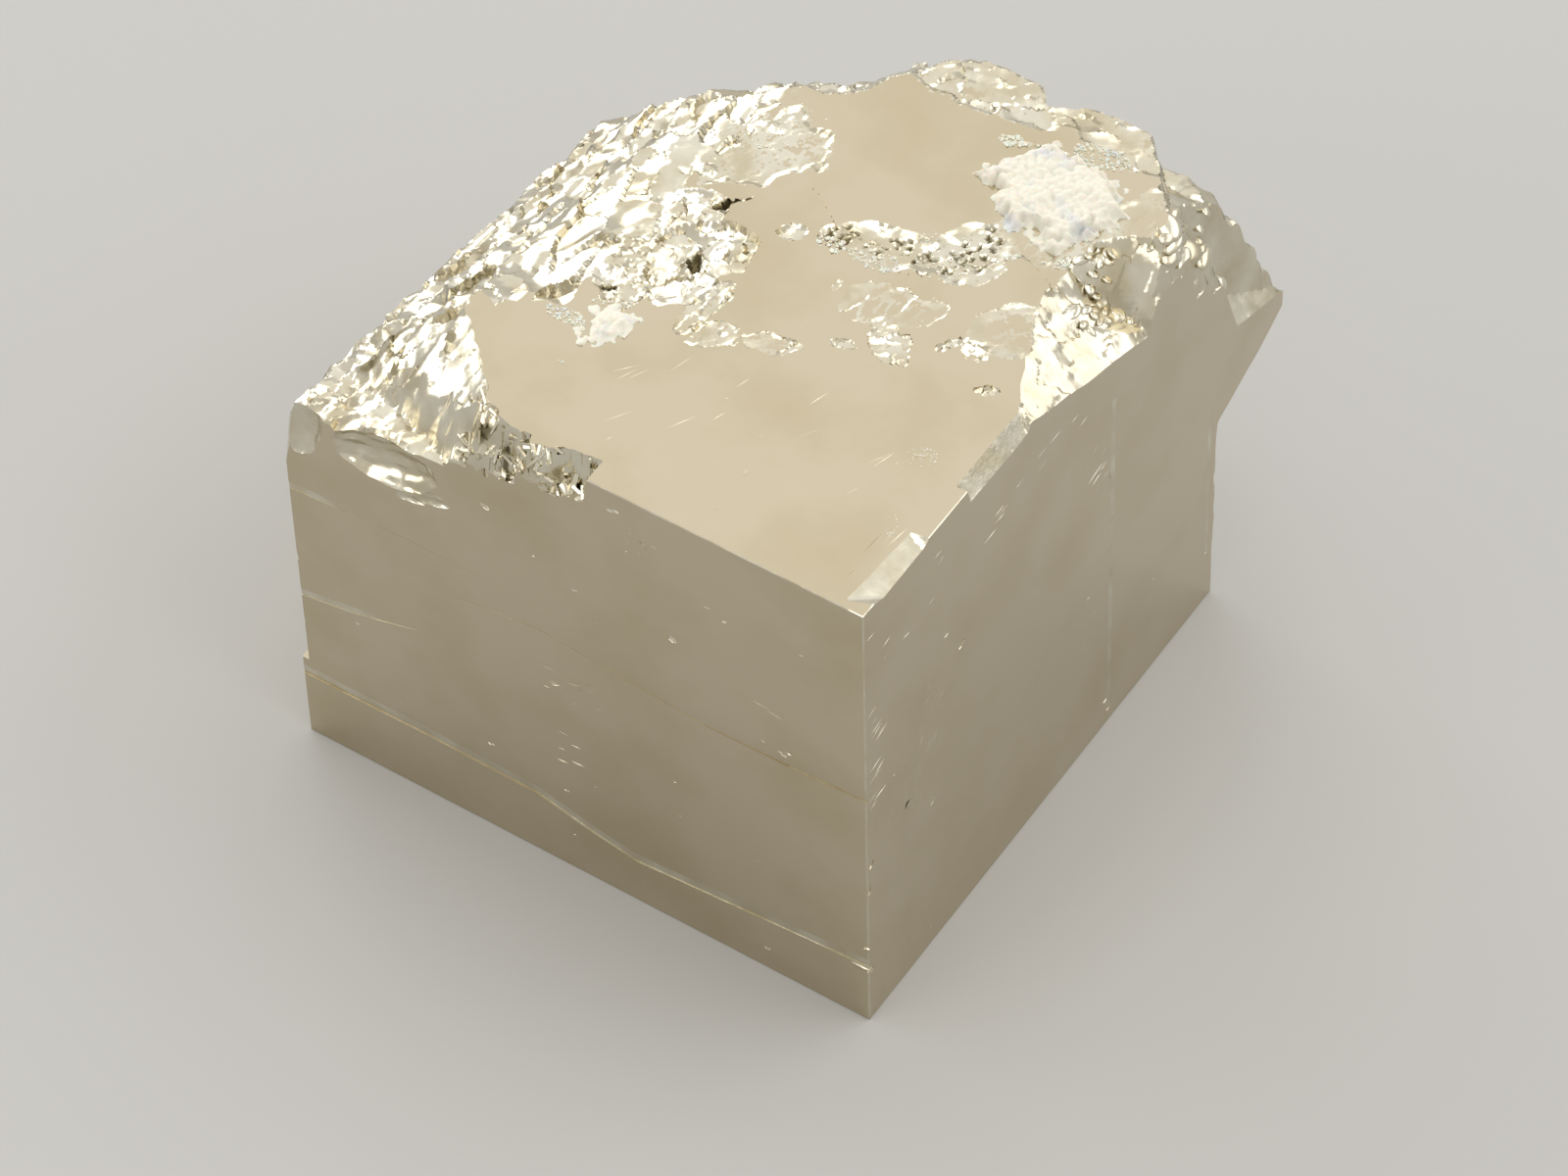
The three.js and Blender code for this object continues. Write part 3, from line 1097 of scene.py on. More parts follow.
@dataclass(frozen=True)
class Leaf:
    """A small scale or sliver that has grown together with the crystal.

    Attributes:
        at: Its middle in x and y.
        size: Its length, width and thickness.
        toward: Bearing that its face leans to, in degrees.
        slope: Lean of its face below the horizontal, in degrees.
        turn: Turn of its length on its own face, in degrees.
        sides: Number of sides of a straight sliver, or 0 for a rounded scale.
    """

    at: Place
    size: Point
    toward: float
    slope: float
    turn: float = 0.0
    sides: int = 0

    def tool(self, crown: Crown) -> bmesh.types.BMesh:
        """Makes the closed shape, half sunk in the crown.

        Args:
            crown: The top that it grows from.

        Returns:
            The closed shape.
        """
        bm = bmesh.new()
        if self.sides:
            bmesh.ops.create_cone(bm, cap_ends=True, segments=self.sides, radius1=0.55,
                                  radius2=0.35, depth=1.0)
            bmesh.ops.rotate(bm, matrix=Matrix.Rotation(math.pi / 2, 3, "Y"), verts=bm.verts)
        else:
            bmesh.ops.create_icosphere(bm, subdivisions=3, radius=0.5)
        place = (Matrix.Translation((*self.at, crown.level(*self.at)))
                 @ Matrix.Rotation(math.radians(self.toward), 4, "Z")
                 @ Matrix.Rotation(math.radians(self.slope), 4, "Y")
                 @ Matrix.Rotation(math.radians(self.turn), 4, "Z")
                 @ Matrix.Diagonal((*self.size, 1)))
        bmesh.ops.transform(bm, matrix=place, verts=bm.verts)
        return bm


@dataclass(frozen=True)
class Foliage:
    """Many like leaves over an area.

    Attributes:
        area: Where they lie.
        count: How many there are.
        size: Largest length, width and thickness.
        toward: Mean bearing that they lean to and the most that one differs, in degrees.
        slope: Mean lean and the most that one differs.
        turn: Mean turn and the most that one differs.
        sides: Number of sides of a straight sliver, or 0 for a rounded scale.
        seed: Picks the pattern.
    """

    area: Oval
    count: int
    size: Point
    toward: Place
    slope: Place
    turn: Place
    sides: int
    seed: float

    def leaves(self) -> list[Leaf]:
        """Spreads the leaves.

        Returns:
            The leaves.
        """
        found = []
        for k in range(self.count):
            number = [float(chance(k, n, self.seed)) for n in range(7)]
            at = self.area.point(*number[:2])
            size = (self.size[0] * (0.45 + 0.55 * number[2]),
                    self.size[1] * (0.6 + 0.4 * number[3]), self.size[2])
            angles = [mean + most * (2 * share - 1) for (mean, most), share
                      in zip((self.toward, self.slope, self.turn), number[4:7])]
            found.append(Leaf(at, size, *angles, self.sides))
        return found


LEAVES = (
    Leaf((-1.5, 45.2), (2.7, 2.4, 0.8), 10, 40),
    Leaf((-1.0, 47.4), (3.2, 2.2, 0.8), 22, 42, 40),
    Leaf((-0.9, 49.7), (3.0, 1.9, 0.8), 26, 44, 80),
    Leaf((-0.5, 43.9), (2.2, 1.4, 0.6), 20, 42, 60),
    Leaf((-0.6, 51.8), (2.2, 1.4, 0.6), 22, 46, 60),
    Leaf((-2.6, 51.6), (3.2, 1.3, 0.6), 34, 44, 70),
    Leaf((-1.9, 53.6), (2.8, 1.2, 0.5), 26, 46, 80),
    Leaf((-3.4, 49.2), (2.4, 1.2, 0.6), 30, 42, 60),
    Leaf((-1.9, 43.2), (0.8, 0.8, 0.4), -150, 24),
    Leaf((-6.3, 38.2), (0.9, 0.8, 0.4), -150, 24),
    Leaf((-34.3, 0.5), (1.5, 0.8, 0.6), -130, 42, 30, 5),
    Leaf((-32.6, 0.5), (1.9, 0.8, 0.6), -125, 40, 60, 5),
    Leaf((-29.4, 0.5), (2.2, 0.7, 0.5), -125, 42, 40, 5),
    Leaf((-26.4, 0.6), (2.6, 0.7, 0.5), -125, 42, 40, 5),
)

FOLIAGE = (
    Foliage(Oval((-1.4, 48.2), (1.3, 4.6), 8), 18, (2.4, 1.4, 0.5), (22, 30), (42, 12),
            (60, 50), 0, 201),
    Foliage(Oval((-2.4, 52.2), (0.9, 2.0), 8), 9, (2.2, 1.3, 0.4), (25, 30), (45, 10),
            (60, 40), 0, 202),
    Foliage(Oval((-2.6, 37.1), (0.8, 4.0), -17), 16, (1.8, 1.0, 0.35), (22, 30), (40, 10),
            (60, 50), 0, 205),
    Foliage(Oval((-4.4, 39.4), (1.1, 2.6), -20), 11, (1.9, 1.1, 0.35), (22, 30), (38, 10),
            (60, 50), 0, 206),
    Foliage(Oval((-31.0, 0.8), (6.2, 0.8), 0), 46, (2.2, 0.5, 0.4), (-110, 50), (45, 30),
            (60, 50), 5, 203),
    Foliage(Oval((-35.4, 2.8), (1.4, 1.6), 30), 14, (1.6, 0.4, 0.35), (-110, 50), (45, 30),
            (90, 50), 5, 204),
)

SCARS = (
    Scar((-43.6, -1.5, 40.1), (5.9, 2.8, 3.2), -8),
    Scar((-39.6, -3.2, 38.2), (5.6, 3.4, 2.4), -12),
    Scar((-41.6, -3.2, 37.2), (4.9, 3.36, 2.0), -10),
    Scar((-51.8, -1.2, 40.4), (2.9, 2.1, 5.4), 8),
)

SCRATCHES = (
    Swarm(Side.FRONT, (-30.2, 21.2), (-24.4, 25.2), 12, (1.7, 0.11), 0.07, 24, 22, 2),
    Swarm(Side.FRONT, (-28.6, 13.0), (-26.2, 18.4), 5, (1.8, 0.1), 0.06, 0, 6, 3),
    Swarm(Side.FRONT, (-11.2, 32.9), (-7.6, 33.6), 3, (3.2, 0.09), 0.05, -8, 5, 4),
    Swarm(Side.FRONT, (-9.5, 28.0), (-1.5, 29.4), 6, (0.8, 0.3), 0.09, 0, 40, 5),
    Swarm(Side.FRONT, (-21.4, 43.4), (-18.2, 46.6), 22, (0.45, 0.22), 0.08, 20, 80, 6),
    Swarm(Side.FRONT, (-52.0, 3.0), (-3.0, 44.0), 26, (0.5, 0.14), 0.05, 10, 90, 7),
    Swarm(Side.RIGHT, (0.7, 25.6), (2.6, 40.0), 13, (2.3, 0.1), 0.07, 18, 12, 12),
    Swarm(Side.RIGHT, (0.8, 42.0), (12.0, 48.6), 9, (1.8, 0.12), 0.07, 8, 14, 13),
    Swarm(Side.RIGHT, (15.0, 41.5), (31.0, 44.2), 12, (2.6, 0.13), 0.08, 4, 8, 14),
    Swarm(Side.RIGHT, (5.4, 19.6), (7.8, 27.8), 22, (1.7, 0.2), 0.1, 74, 24, 15),
    Swarm(Side.RIGHT, (3.2, 1.6), (10.2, 19.0), 36, (1.3, 0.16), 0.07, 68, 34, 16),
    Swarm(Side.RIGHT, (7.8, 22.0), (10.6, 33.0), 14, (1.5, 0.1), 0.06, 52, 14, 17),
    Swarm(Side.RIGHT, (31.6, 30.0), (34.2, 37.4), 10, (3.0, 0.13), 0.08, 20, 8, 18),
    Swarm(Side.RIGHT, (34.8, 3.4), (35.3, 37.4), 26, (2.6, 0.13), 0.07, 90, 3, 39),
    Swarm(Side.RIGHT, (31.6, 12.0), (33.4, 30.0), 7, (1.5, 0.12), 0.05, 40, 14, 20),
    Swarm(Side.RIGHT, (49.7, 9.0), (50.6, 21.5), 9, (1.8, 0.12), 0.05, 88, 6, 22),
    Swarm(Side.RIGHT, (2.0, 4.0), (48.0, 36.0), 30, (0.7, 0.1), 0.05, 30, 90, 23),
    Swarm(Side.TOP, (-34.0, 3.0), (-6.0, 17.0), 16, (3.4, 0.07), 0.03, 62, 12, 24),
    Swarm(Side.TOP, (-30.0, 2.0), (-2.0, 22.0), 12, (1.0, 0.09), 0.04, 50, 40, 25),
    Swarm(Side.TOP, (-3.8, 1.8), (-1.2, 9.0), 5, (3.6, 0.12), 0.06, 80, 10, 26),
    Swarm(Side.LEFT, (-46.0, 10.0), (-6.0, 34.0), 40, (2.2, 0.1), 0.05, 0, 18, 27),
)

CHIPS = {
    Side.FRONT: (
        Mark((-34.2, 40.8), (1.1, 0.7), 0.2, -20),
        Mark((-22.2, 47.9), (1.3, 0.6), 0.2, 10),
        Mark((-26.2, 36.0), (0.5, 0.4), 0.12),
        Mark((-17.3, 36.0), (1.0, 0.8), 0.25, -50),
        Mark((-14.0, 42.0), (0.5, 0.4), 0.12),
        Mark((-12.4, 41.4), (0.6, 0.4), 0.12, 30),
        Mark((-5.6, 41.9), (0.4, 0.3), 0.1),
        Mark((-7.4, 28.6), (0.7, 0.5), 0.16),
        Mark((-35.5, 10.8), (0.7, 0.5), 0.15),
        Mark((-28.3, 9.8), (0.6, 0.4), 0.12),
        Mark((-9.5, 2.6), (0.7, 0.5), 0.15),
        Mark((-0.9, 6.5), (2.4, 0.6), 0.4, 4),
        Mark((-0.2, 9.3), (0.8, 0.5), 0.3),
    ),
    Side.RIGHT: (
        Mark((0.3, 6.4), (1.0, 0.7), 0.4),
        Mark((0.2, 16.8), (0.7, 1.8), 0.35),
        Mark((0.6, 19.6), (1.1, 0.5), 0.3, 50),
        Mark((9.3, 18.2), (1.3, 0.6), 0.2, 60),
        Mark((11.2, 36.4), (0.9, 0.6), 0.12),
        Mark((13.4, 33.0), (1.1, 0.6), 0.15, 40),
        Mark((35.0, 3.4), (0.8, 1.1), 0.18),
        Mark((35.1, 20.6), (0.6, 1.3), 0.15),
    ),
}

GROWTH_LINES = (
    GrowthLine(Side.FRONT, ((-55.0, 30.7), (-47.0, 31.4), (-41.7, 31.8), (-35.2, 31.6)),
               (0.05, 0.005), (0.0, 1.6)),
    GrowthLine(Side.FRONT, ((-43.6, 26.2), (-36.5, 27.9), (-29.9, 28.8), (-22.0, 28.1),
                            (-14.8, 27.3), (-7.0, 27.5), (1.0, 28.0)), (0.01, 0.08), (0.3, 2.4)),
    GrowthLine(Side.FRONT, ((-55.0, 17.4), (-49.0, 18.6), (-45.5, 19.6), (-41.9, 20.8)),
               (0.07, 0.005), (0.0, 1.4)),
    GrowthLine(Side.FRONT, ((-55.0, 7.4), (-50.1, 7.4), (-42.0, 7.5), (-31.3, 7.3), (-26.0, 5.9),
                            (-22.0, 5.1), (-12.0, 6.0), (1.0, 7.1)), (0.12, 0.06), (0.0, 1.5)),
    GrowthLine(Side.RIGHT, ((35.3, 1.5), (35.2, 12.0), (35.0, 25.0), (34.9, 40.0)),
               (0.05, 0.1), (0.9, 0.0)),
    GrowthLine(Side.RIGHT, ((50.4, 6.0), (50.3, 14.0), (50.0, 24.0)), (0.03, 0.08), (0.8, 0.0)),
    GrowthLine(Side.LEFT, ((2.0, 22.0), (-14.0, 22.6), (-30.0, 21.7), (-49.0, 22.4)),
               (0.12, 0.04), (0.0, 1.6)),
    GrowthLine(Side.LEFT, ((2.0, 14.2), (-20.0, 13.6), (-49.0, 14.9)), (0.03, 0.12), (0.0, 1.8)),
)


# ---- finishes ----


class Nodes:
    """A short way to build a material's node tree.

    Attributes:
        material: The material.
        tree: Its node tree.
        shader: The principled shader in it.
    """

    def __init__(self, name: str) -> None:
        """Starts a material with a principled shader.

        Args:
            name: Name of the material.
        """
        self.material = bpy.data.materials.new(name)
        self.material.use_nodes = True
        self.tree = self.material.node_tree
        self.shader = self.tree.nodes["Principled BSDF"]

    def add(self, kind: str, **values: object) -> bpy.types.Node:
        """Adds a node and sets its properties.

        Args:
            kind: Type of the node.
            values: Properties that are set on it.

        Returns:
            The node.
        """
        node = self.tree.nodes.new(kind)
        for key, value in values.items():
            setattr(node, key, value)
        return node

    def link(self, start: bpy.types.NodeSocket, end: bpy.types.NodeSocket) -> None:
        """Joins two sockets."""
        self.tree.links.new(start, end)

    def place(self, scale: Point = (1, 1, 1), turn: Point = (0, 0, 0)) -> bpy.types.NodeSocket:
        """Gives object coordinates, turned and then scaled.

        Args:
            scale: Scale along each axis.
            turn: Turn about each axis in degrees.

        Returns:
            The coordinates.
        """
        coordinates = self.add("ShaderNodeTexCoord")
        turned = self.add("ShaderNodeMapping")
        turned.inputs["Rotation"].default_value = [math.radians(angle) for angle in turn]
        scaled = self.add("ShaderNodeMapping")
        scaled.inputs["Scale"].default_value = scale
        self.link(coordinates.outputs["Object"], turned.inputs["Vector"])
        self.link(turned.outputs["Vector"], scaled.inputs["Vector"])
        return scaled.outputs["Vector"]

    def noise(self, scale: float, detail: float = 4.0,
              vector: bpy.types.NodeSocket | None = None) -> bpy.types.NodeSocket:
        """Adds noise.

        Args:
            scale: Bumps in a metre.
            detail: Number of finer layers.
            vector: Coordinates, or None for the object's own.

        Returns:
            Its value.
        """
        node = self.add("ShaderNodeTexNoise")
        node.inputs["Scale"].default_value = scale
        node.inputs["Detail"].default_value = detail
        self.link(vector or self.place(), node.inputs["Vector"])
        return node.outputs["Fac"]

    def remap(self, value: bpy.types.NodeSocket, low: float, high: float,
              out_low: float = 0.0, out_high: float = 1.0) -> bpy.types.NodeSocket:
        """Maps a value from one range to another and clamps it.

        Args:
            value: The value.
            low: Start of its range.
            high: End of its range.
            out_low: What the start becomes.
            out_high: What the end becomes.

        Returns:
            The new value.
        """
        node = self.add("ShaderNodeMapRange")
        for name, number in (("From Min", low), ("From Max", high),
                             ("To Min", out_low), ("To Max", out_high)):
            node.inputs[name].default_value = number
        self.link(value, node.inputs["Value"])
        return node.outputs["Result"]

    def math(self, kind: str, first: bpy.types.NodeSocket,
             second: bpy.types.NodeSocket) -> bpy.types.NodeSocket:
        """Joins two values by an operation.

        Args:
            kind: Name of the operation.
            first: First value.
            second: Second value.

        Returns:
            The result.
        """
        node = self.add("ShaderNodeMath", operation=kind)
        self.link(first, node.inputs[0])
        self.link(second, node.inputs[1])
        return node.outputs[0]

    def mix(self, share: bpy.types.NodeSocket, first: Colour | bpy.types.NodeSocket,
            second: Colour) -> bpy.types.NodeSocket:
        """Mixes two colours by a value.

        Args:
            share: Share of the second colour.
            first: First colour, or a socket that gives it.
            second: Second colour.

        Returns:
            The mixed colour.
        """
        node = self.add("ShaderNodeMix", data_type="RGBA")
        if isinstance(first, bpy.types.NodeSocket):
            self.link(first, node.inputs[6])
        else:
            node.inputs[6].default_value = (*first, 1.0)
        node.inputs[7].default_value = (*second, 1.0)
        self.link(share, node.inputs[0])
        return node.outputs[2]

    def bump(self, height: bpy.types.NodeSocket, distance: float,
             before: bpy.types.NodeSocket | None = None) -> bpy.types.NodeSocket:
        """Adds a bump.

        Args:
            height: Height from 0 to 1.
            distance: Depth in metres.
            before: Normal that it starts from.

        Returns:
            The bumped normal.
        """
        node = self.add("ShaderNodeBump")
        node.inputs["Strength"].default_value = 1.0
        node.inputs["Distance"].default_value = distance
        self.link(height, node.inputs["Height"])
        if before is not None:
            self.link(before, node.inputs["Normal"])
        return node.outputs["Normal"]


@dataclass(frozen=True)
class FaceFinish:
    """Natural pyrite faces: pale brassy mirrors with faint smudges and hairlines.

    Attributes:
        name: Name of the material.
        metal: Colour of the clean metal.
        smudge: Colour of a full smudge.
        smooth: Roughness where the face is clearest.
        hazy: Roughness where it is haziest.
        smudge_scale: Smudges in a metre.
        most_smudge: Share of the smudge's colour in the strongest one.
        haze_scale: Hazy spots in a metre.
        hair_scale: Hairlines in a metre across them and along them.
        hair_turn: Direction of the hairlines in degrees.
        hair_depth: Their depth in metres.
        wave_scale: Waves of the face in a metre.
        wave_depth: Their depth in metres.
    """

    name: str = "pyrite_face"
    metal: Colour = (0.60, 0.53, 0.395)
    smudge: Colour = (0.52, 0.445, 0.29)
    smooth: float = 0.07
    hazy: float = 0.17
    smudge_scale: float = 95.0
    most_smudge: float = 0.75
    haze_scale: float = 230.0
    hair_scale: Point = (5200, 170, 170)
    hair_turn: Point = (0, 0, 28)
    hair_depth: float = 0.0000009
    wave_scale: float = 85.0
    wave_depth: float = 0.00005

    def build(self) -> bpy.types.Material:
        """Makes the material.

        Returns:
            The material.
        """
        nodes = Nodes(self.name)
        shader = nodes.shader
        shader.inputs["Metallic"].default_value = 1.0
        smudges = nodes.remap(nodes.noise(self.smudge_scale, 6.0), 0.44, 0.72, 0.0,
                              self.most_smudge)
        nodes.link(nodes.mix(smudges, self.metal, self.smudge), shader.inputs["Base Color"])
        haze = nodes.remap(nodes.noise(self.haze_scale, 5.0), 0.35, 0.72, self.smooth, self.hazy)
        nodes.link(haze, shader.inputs["Roughness"])
        hairs = nodes.noise(1.0, 3.0, nodes.place(self.hair_scale, self.hair_turn))
        waves = nodes.noise(self.wave_scale, 2.0)
        normal = nodes.bump(nodes.remap(hairs, 0.45, 0.8), self.hair_depth)
        nodes.link(nodes.bump(waves, self.wave_depth, normal), shader.inputs["Normal"])
        return nodes.material


@dataclass(frozen=True)
class BrokenFinish:
    """Broken pyrite: brighter and rougher metal, with painted shade that makes it dark and dull in
    the pits and cracks.

    Attributes:
        name: Name of the material.
        bright: Colour of the brightest metal.
        brassy: Colour of the yellower patches.
        dark: Colour of the painted shade in the pits and cracks and of the dark patches.
        smooth: Roughness where the metal is clearest.
        hazy: Roughness where it is haziest.
        dull: Roughness where that painted shade and the dark patches lie.
        patch_scale: Brassy patches in a metre.
        haze_scale: Hazy spots in a metre.
        grain_scale: Bumps of the fine grain in a metre.
        grain_depth: Depth of that grain in metres.
    """

    name: str = "pyrite_broken"
    bright: Colour = (0.69, 0.655, 0.545)
    brassy: Colour = (0.56, 0.50, 0.36)
    dark: Colour = (0.17, 0.14, 0.07)
    smooth: float = 0.12
    hazy: float = 0.3
    dull: float = 0.6
    patch_scale: float = 260.0
    haze_scale: float = 700.0
    grain_scale: float = 2600.0
    grain_depth: float = 0.000012

    def build(self) -> bpy.types.Material:
        """Makes the material.

        Returns:
            The material.
        """
        nodes = Nodes(self.name)
        shader = nodes.shader
        shader.inputs["Metallic"].default_value = 1.0
        patches = nodes.remap(nodes.noise(self.patch_scale, 5.0), 0.38, 0.66)
        metal = nodes.mix(patches, self.bright, self.brassy)
        # This attribute paints shade into the pits and cracks and darkens the dark patches.
        shade_and_dark_patches = nodes.add("ShaderNodeAttribute", attribute_name="shade_and_dark_patches").outputs["Fac"]
        nodes.link(nodes.mix(shade_and_dark_patches, metal, self.dark), shader.inputs["Base Color"])
        haze = nodes.remap(nodes.noise(self.haze_scale, 4.0), 0.35, 0.75, self.smooth, self.hazy)
        nodes.link(nodes.math("MAXIMUM", haze, nodes.remap(shade_and_dark_patches, 0.0, 1.0, 0.0, self.dull)),
                   shader.inputs["Roughness"])
        grain = nodes.noise(self.grain_scale, 4.0)
        nodes.link(nodes.bump(grain, self.grain_depth), shader.inputs["Normal"])
        return nodes.material


@dataclass(frozen=True)
class CrustFinish:
    """White grainy mineral with patches of cold grey.

    Attributes:
        name: Name of the material.
        white: Its main colour.
        grey: Colour of the patches.
        rough: Roughness of all of it.
        milky: Share of the light that spreads below the surface.
        milky_depth: How far that light spreads, in metres.
        patch_scale: Grey patches in a metre.
        grain_scale: Bumps of the fine grain in a metre.
        grain_depth: Depth of that grain in metres.
    """

    name: str = "crust_grains"
    white: Colour = (0.68, 0.655, 0.56)
    grey: Colour = (0.53, 0.55, 0.57)
    rough: float = 0.7
    milky: float = 0.2
    milky_depth: float = 0.0006
    patch_scale: float = 420.0
    grain_scale: float = 3600.0
    grain_depth: float = 0.00004

    def build(self) -> bpy.types.Material:
        """Makes the material, or finds it if it is made.

        Returns:
            The material.
        """
        if self.name in bpy.data.materials:
            return bpy.data.materials[self.name]
        nodes = Nodes(self.name)
        shader = nodes.shader
        shader.inputs["Roughness"].default_value = self.rough
        shader.inputs["Subsurface Weight"].default_value = self.milky
        shader.inputs["Subsurface Scale"].default_value = self.milky_depth
        patches = nodes.remap(nodes.noise(self.patch_scale, 5.0), 0.54, 0.76)
        nodes.link(nodes.mix(patches, self.white, self.grey), shader.inputs["Base Color"])
        grain = nodes.noise(self.grain_scale, 6.0)
        nodes.link(nodes.bump(grain, self.grain_depth), shader.inputs["Normal"])
        return nodes.material


# ---- the crystal ----


@dataclass
class PyriteCube:
    """The crystal in one piece: its natural faces and the broken crown and back.

    Attributes:
        crown: The sheet that cuts it from above.
        back: The sheet that cuts it from behind.
        crown_cell: Width of a mesh cell of the crown.
        back_cell: Width of a mesh cell of the back.
        edge_radius: Wear of the natural edges.
        long_edge: Edges longer than this are cut up.
        face_cuts: Number of cuts along a natural face.
        leaf_inset: How far the leaves stay inside the natural faces.
        darkening_low: Nothing below this height gets the painted pit shade or the dark patches.
        near: How close to a natural face a facet of that face lies.
        straight: Least share of its normal along one axis.
        crease: Facets that meet at more than this many degrees keep a sharp edge.
    """

    crown: Crown = field(default_factory=Crown)
    back: BackSheet = field(default_factory=BackSheet)
    crown_cell: float = 0.21
    back_cell: float = 0.45
    edge_radius: float = 0.1
    long_edge: float = 9.0
    face_cuts: int = 35
    leaf_inset: float = 0.03
    darkening_low: float = 38.0
    near: float = 0.3
    straight: float = 0.9985
    crease: float = 20.0

    def body(self) -> bpy.types.Object:
        """Makes the uncut block with slightly worn edges.

        Returns:
            The block.
        """
        bm = block(Vector((-FRONT, 0, 0)), Vector((0, SIDE + OVERHANG, HEIGHT)))
        bmesh.ops.bevel(bm, geom=list(bm.edges), offset=self.edge_radius, offset_type="OFFSET",
                        segments=2, profile=0.5, affect="EDGES", material=-1)
        long = [edge for edge in bm.edges if edge.calc_length() > self.long_edge]
        bmesh.ops.subdivide_edges(bm, edges=long, cuts=self.face_cuts, use_grid_fill=True)
        return object_from(bm, "pyrite_crystal")

    def ledge_block(self) -> bmesh.types.BMesh:
        """Makes the block that sets the left face back above its low ledge."""
        return block(Vector((-FRONT - MARGIN, -MARGIN, LEDGE_HEIGHT)),
                     Vector((-FRONT + LEDGE_DEPTH, SIDE + OVERHANG + MARGIN, HEIGHT + MARGIN)))

    def scratch(self, piece: bpy.types.Object) -> None:
        """Cuts the growth lines, scratches, scars and chips into the natural faces.

        Args:
            piece: The crystal.
        """
        for line in GROWTH_LINES:
            combine(piece, line.tool())
        for swarm in SCRATCHES:
            bm = bmesh.new()
            for mark in swarm.marks():
                bmesh.ops.create_uvsphere(bm, u_segments=4, v_segments=2, radius=1.0,
                                          matrix=mark.place(swarm.side))
            bmesh.ops.recalc_face_normals(bm, faces=bm.faces)
            combine(piece, bm)
        for scar in SCARS:
            combine(piece, scar.tool())
        bm = bmesh.new()
        for side, marks in CHIPS.items():
            for mark in marks:
                bmesh.ops.create_icosphere(bm, subdivisions=1, radius=1.0,
                                           matrix=mark.place(side))
        bmesh.ops.recalc_face_normals(bm, faces=bm.faces)
        combine(piece, bm)

    def build(self) -> bpy.types.Object:
        """Cuts the crystal and dresses it.

        Returns:
            The finished piece.
        """
        piece = self.body()
        combine(piece, self.ledge_block())
        self.scratch(piece)
        far = SIDE + OVERHANG + MARGIN
        lid = HEIGHT + 2 * MARGIN
        low = (-FRONT - MARGIN, -MARGIN)
        combine(piece, sheet_block(low, (MARGIN, far), self.crown_cell, self.crown.height, lid,
                                   Axis.UP))
        combine(piece, sheet_block(low, (MARGIN, lid), self.back_cell, self.back.depth, far,
                                   Axis.BACK))
        combine(piece, self.leaves(), Boolean.ADD)
        self.dress(piece)
        settle(piece)
        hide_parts("pyrite_cube")
        return piece

    def leaves(self) -> bmesh.types.BMesh:
        """Joins all the leaves and trims them at the natural faces.

        Returns:
            The closed shape that they make.
        """
        every = [*LEAVES, *(leaf for group in FOLIAGE for leaf in group.leaves())]
        joined = object_from(every[0].tool(self.crown), "leaves")
        for leaf in every[1:]:
            combine(joined, leaf.tool(self.crown), Boolean.ADD)
        inset = self.leaf_inset
        combine(joined, block(Vector((LEDGE_DEPTH + inset - FRONT, inset, 0)),
                              Vector((-inset, SIDE + OVERHANG, HEIGHT))), Boolean.KEEP)
        bm = bmesh.new()
        bm.from_mesh(joined.data)
        bpy.data.meshes.remove(joined.data)
        return bm

    def dress(self, piece: bpy.types.Object) -> None:
        """Gives natural faces the mirror finish and broken ones the bright one.

        Args:
            piece: The crystal.
        """
        mesh = piece.data
        mesh.materials.clear()
        mesh.materials.append(FaceFinish().build())
        mesh.materials.append(BrokenFinish().build())
        normals = np.empty(len(mesh.polygons) * 3)
        centres = np.empty(len(mesh.polygons) * 3)
        mesh.polygons.foreach_get("normal", normals)
        mesh.polygons.foreach_get("center", centres)
        x, y, z = centres.reshape(-1, 3).T
        near = self.near
        square = np.abs(normals.reshape(-1, 3)).max(axis=1) > self.straight
        top = z > HEIGHT - TERRACE_DROP - near
        sides = (y < near) | (x > -near) | (z < near) | (x < LEDGE_DEPTH + near - FRONT)
        broken = np.where(square & (top | sides), 0, 1)
        mesh.polygons.foreach_set("material_index", broken)
        mesh.polygons.foreach_set("use_smooth", broken == 1)
        places = np.empty(len(mesh.vertices) * 3)
        mesh.vertices.foreach_get("co", places)
        x, y, z = places.reshape(-1, 3).T
        # Painted shade for the pits and cracks, and the dark patches, go to the broken finish
        # through this attribute.
        shade_and_dark_patches = self.crown.shade_and_dark_patches(x, y) * (z > self.darkening_low)
        mesh.attributes.new("shade_and_dark_patches", "FLOAT", "POINT").data.foreach_set("value", shade_and_dark_patches)
        mesh.set_sharp_from_angle(angle=math.radians(self.crease))
        mesh.update()


# ---- crusts and grains ----


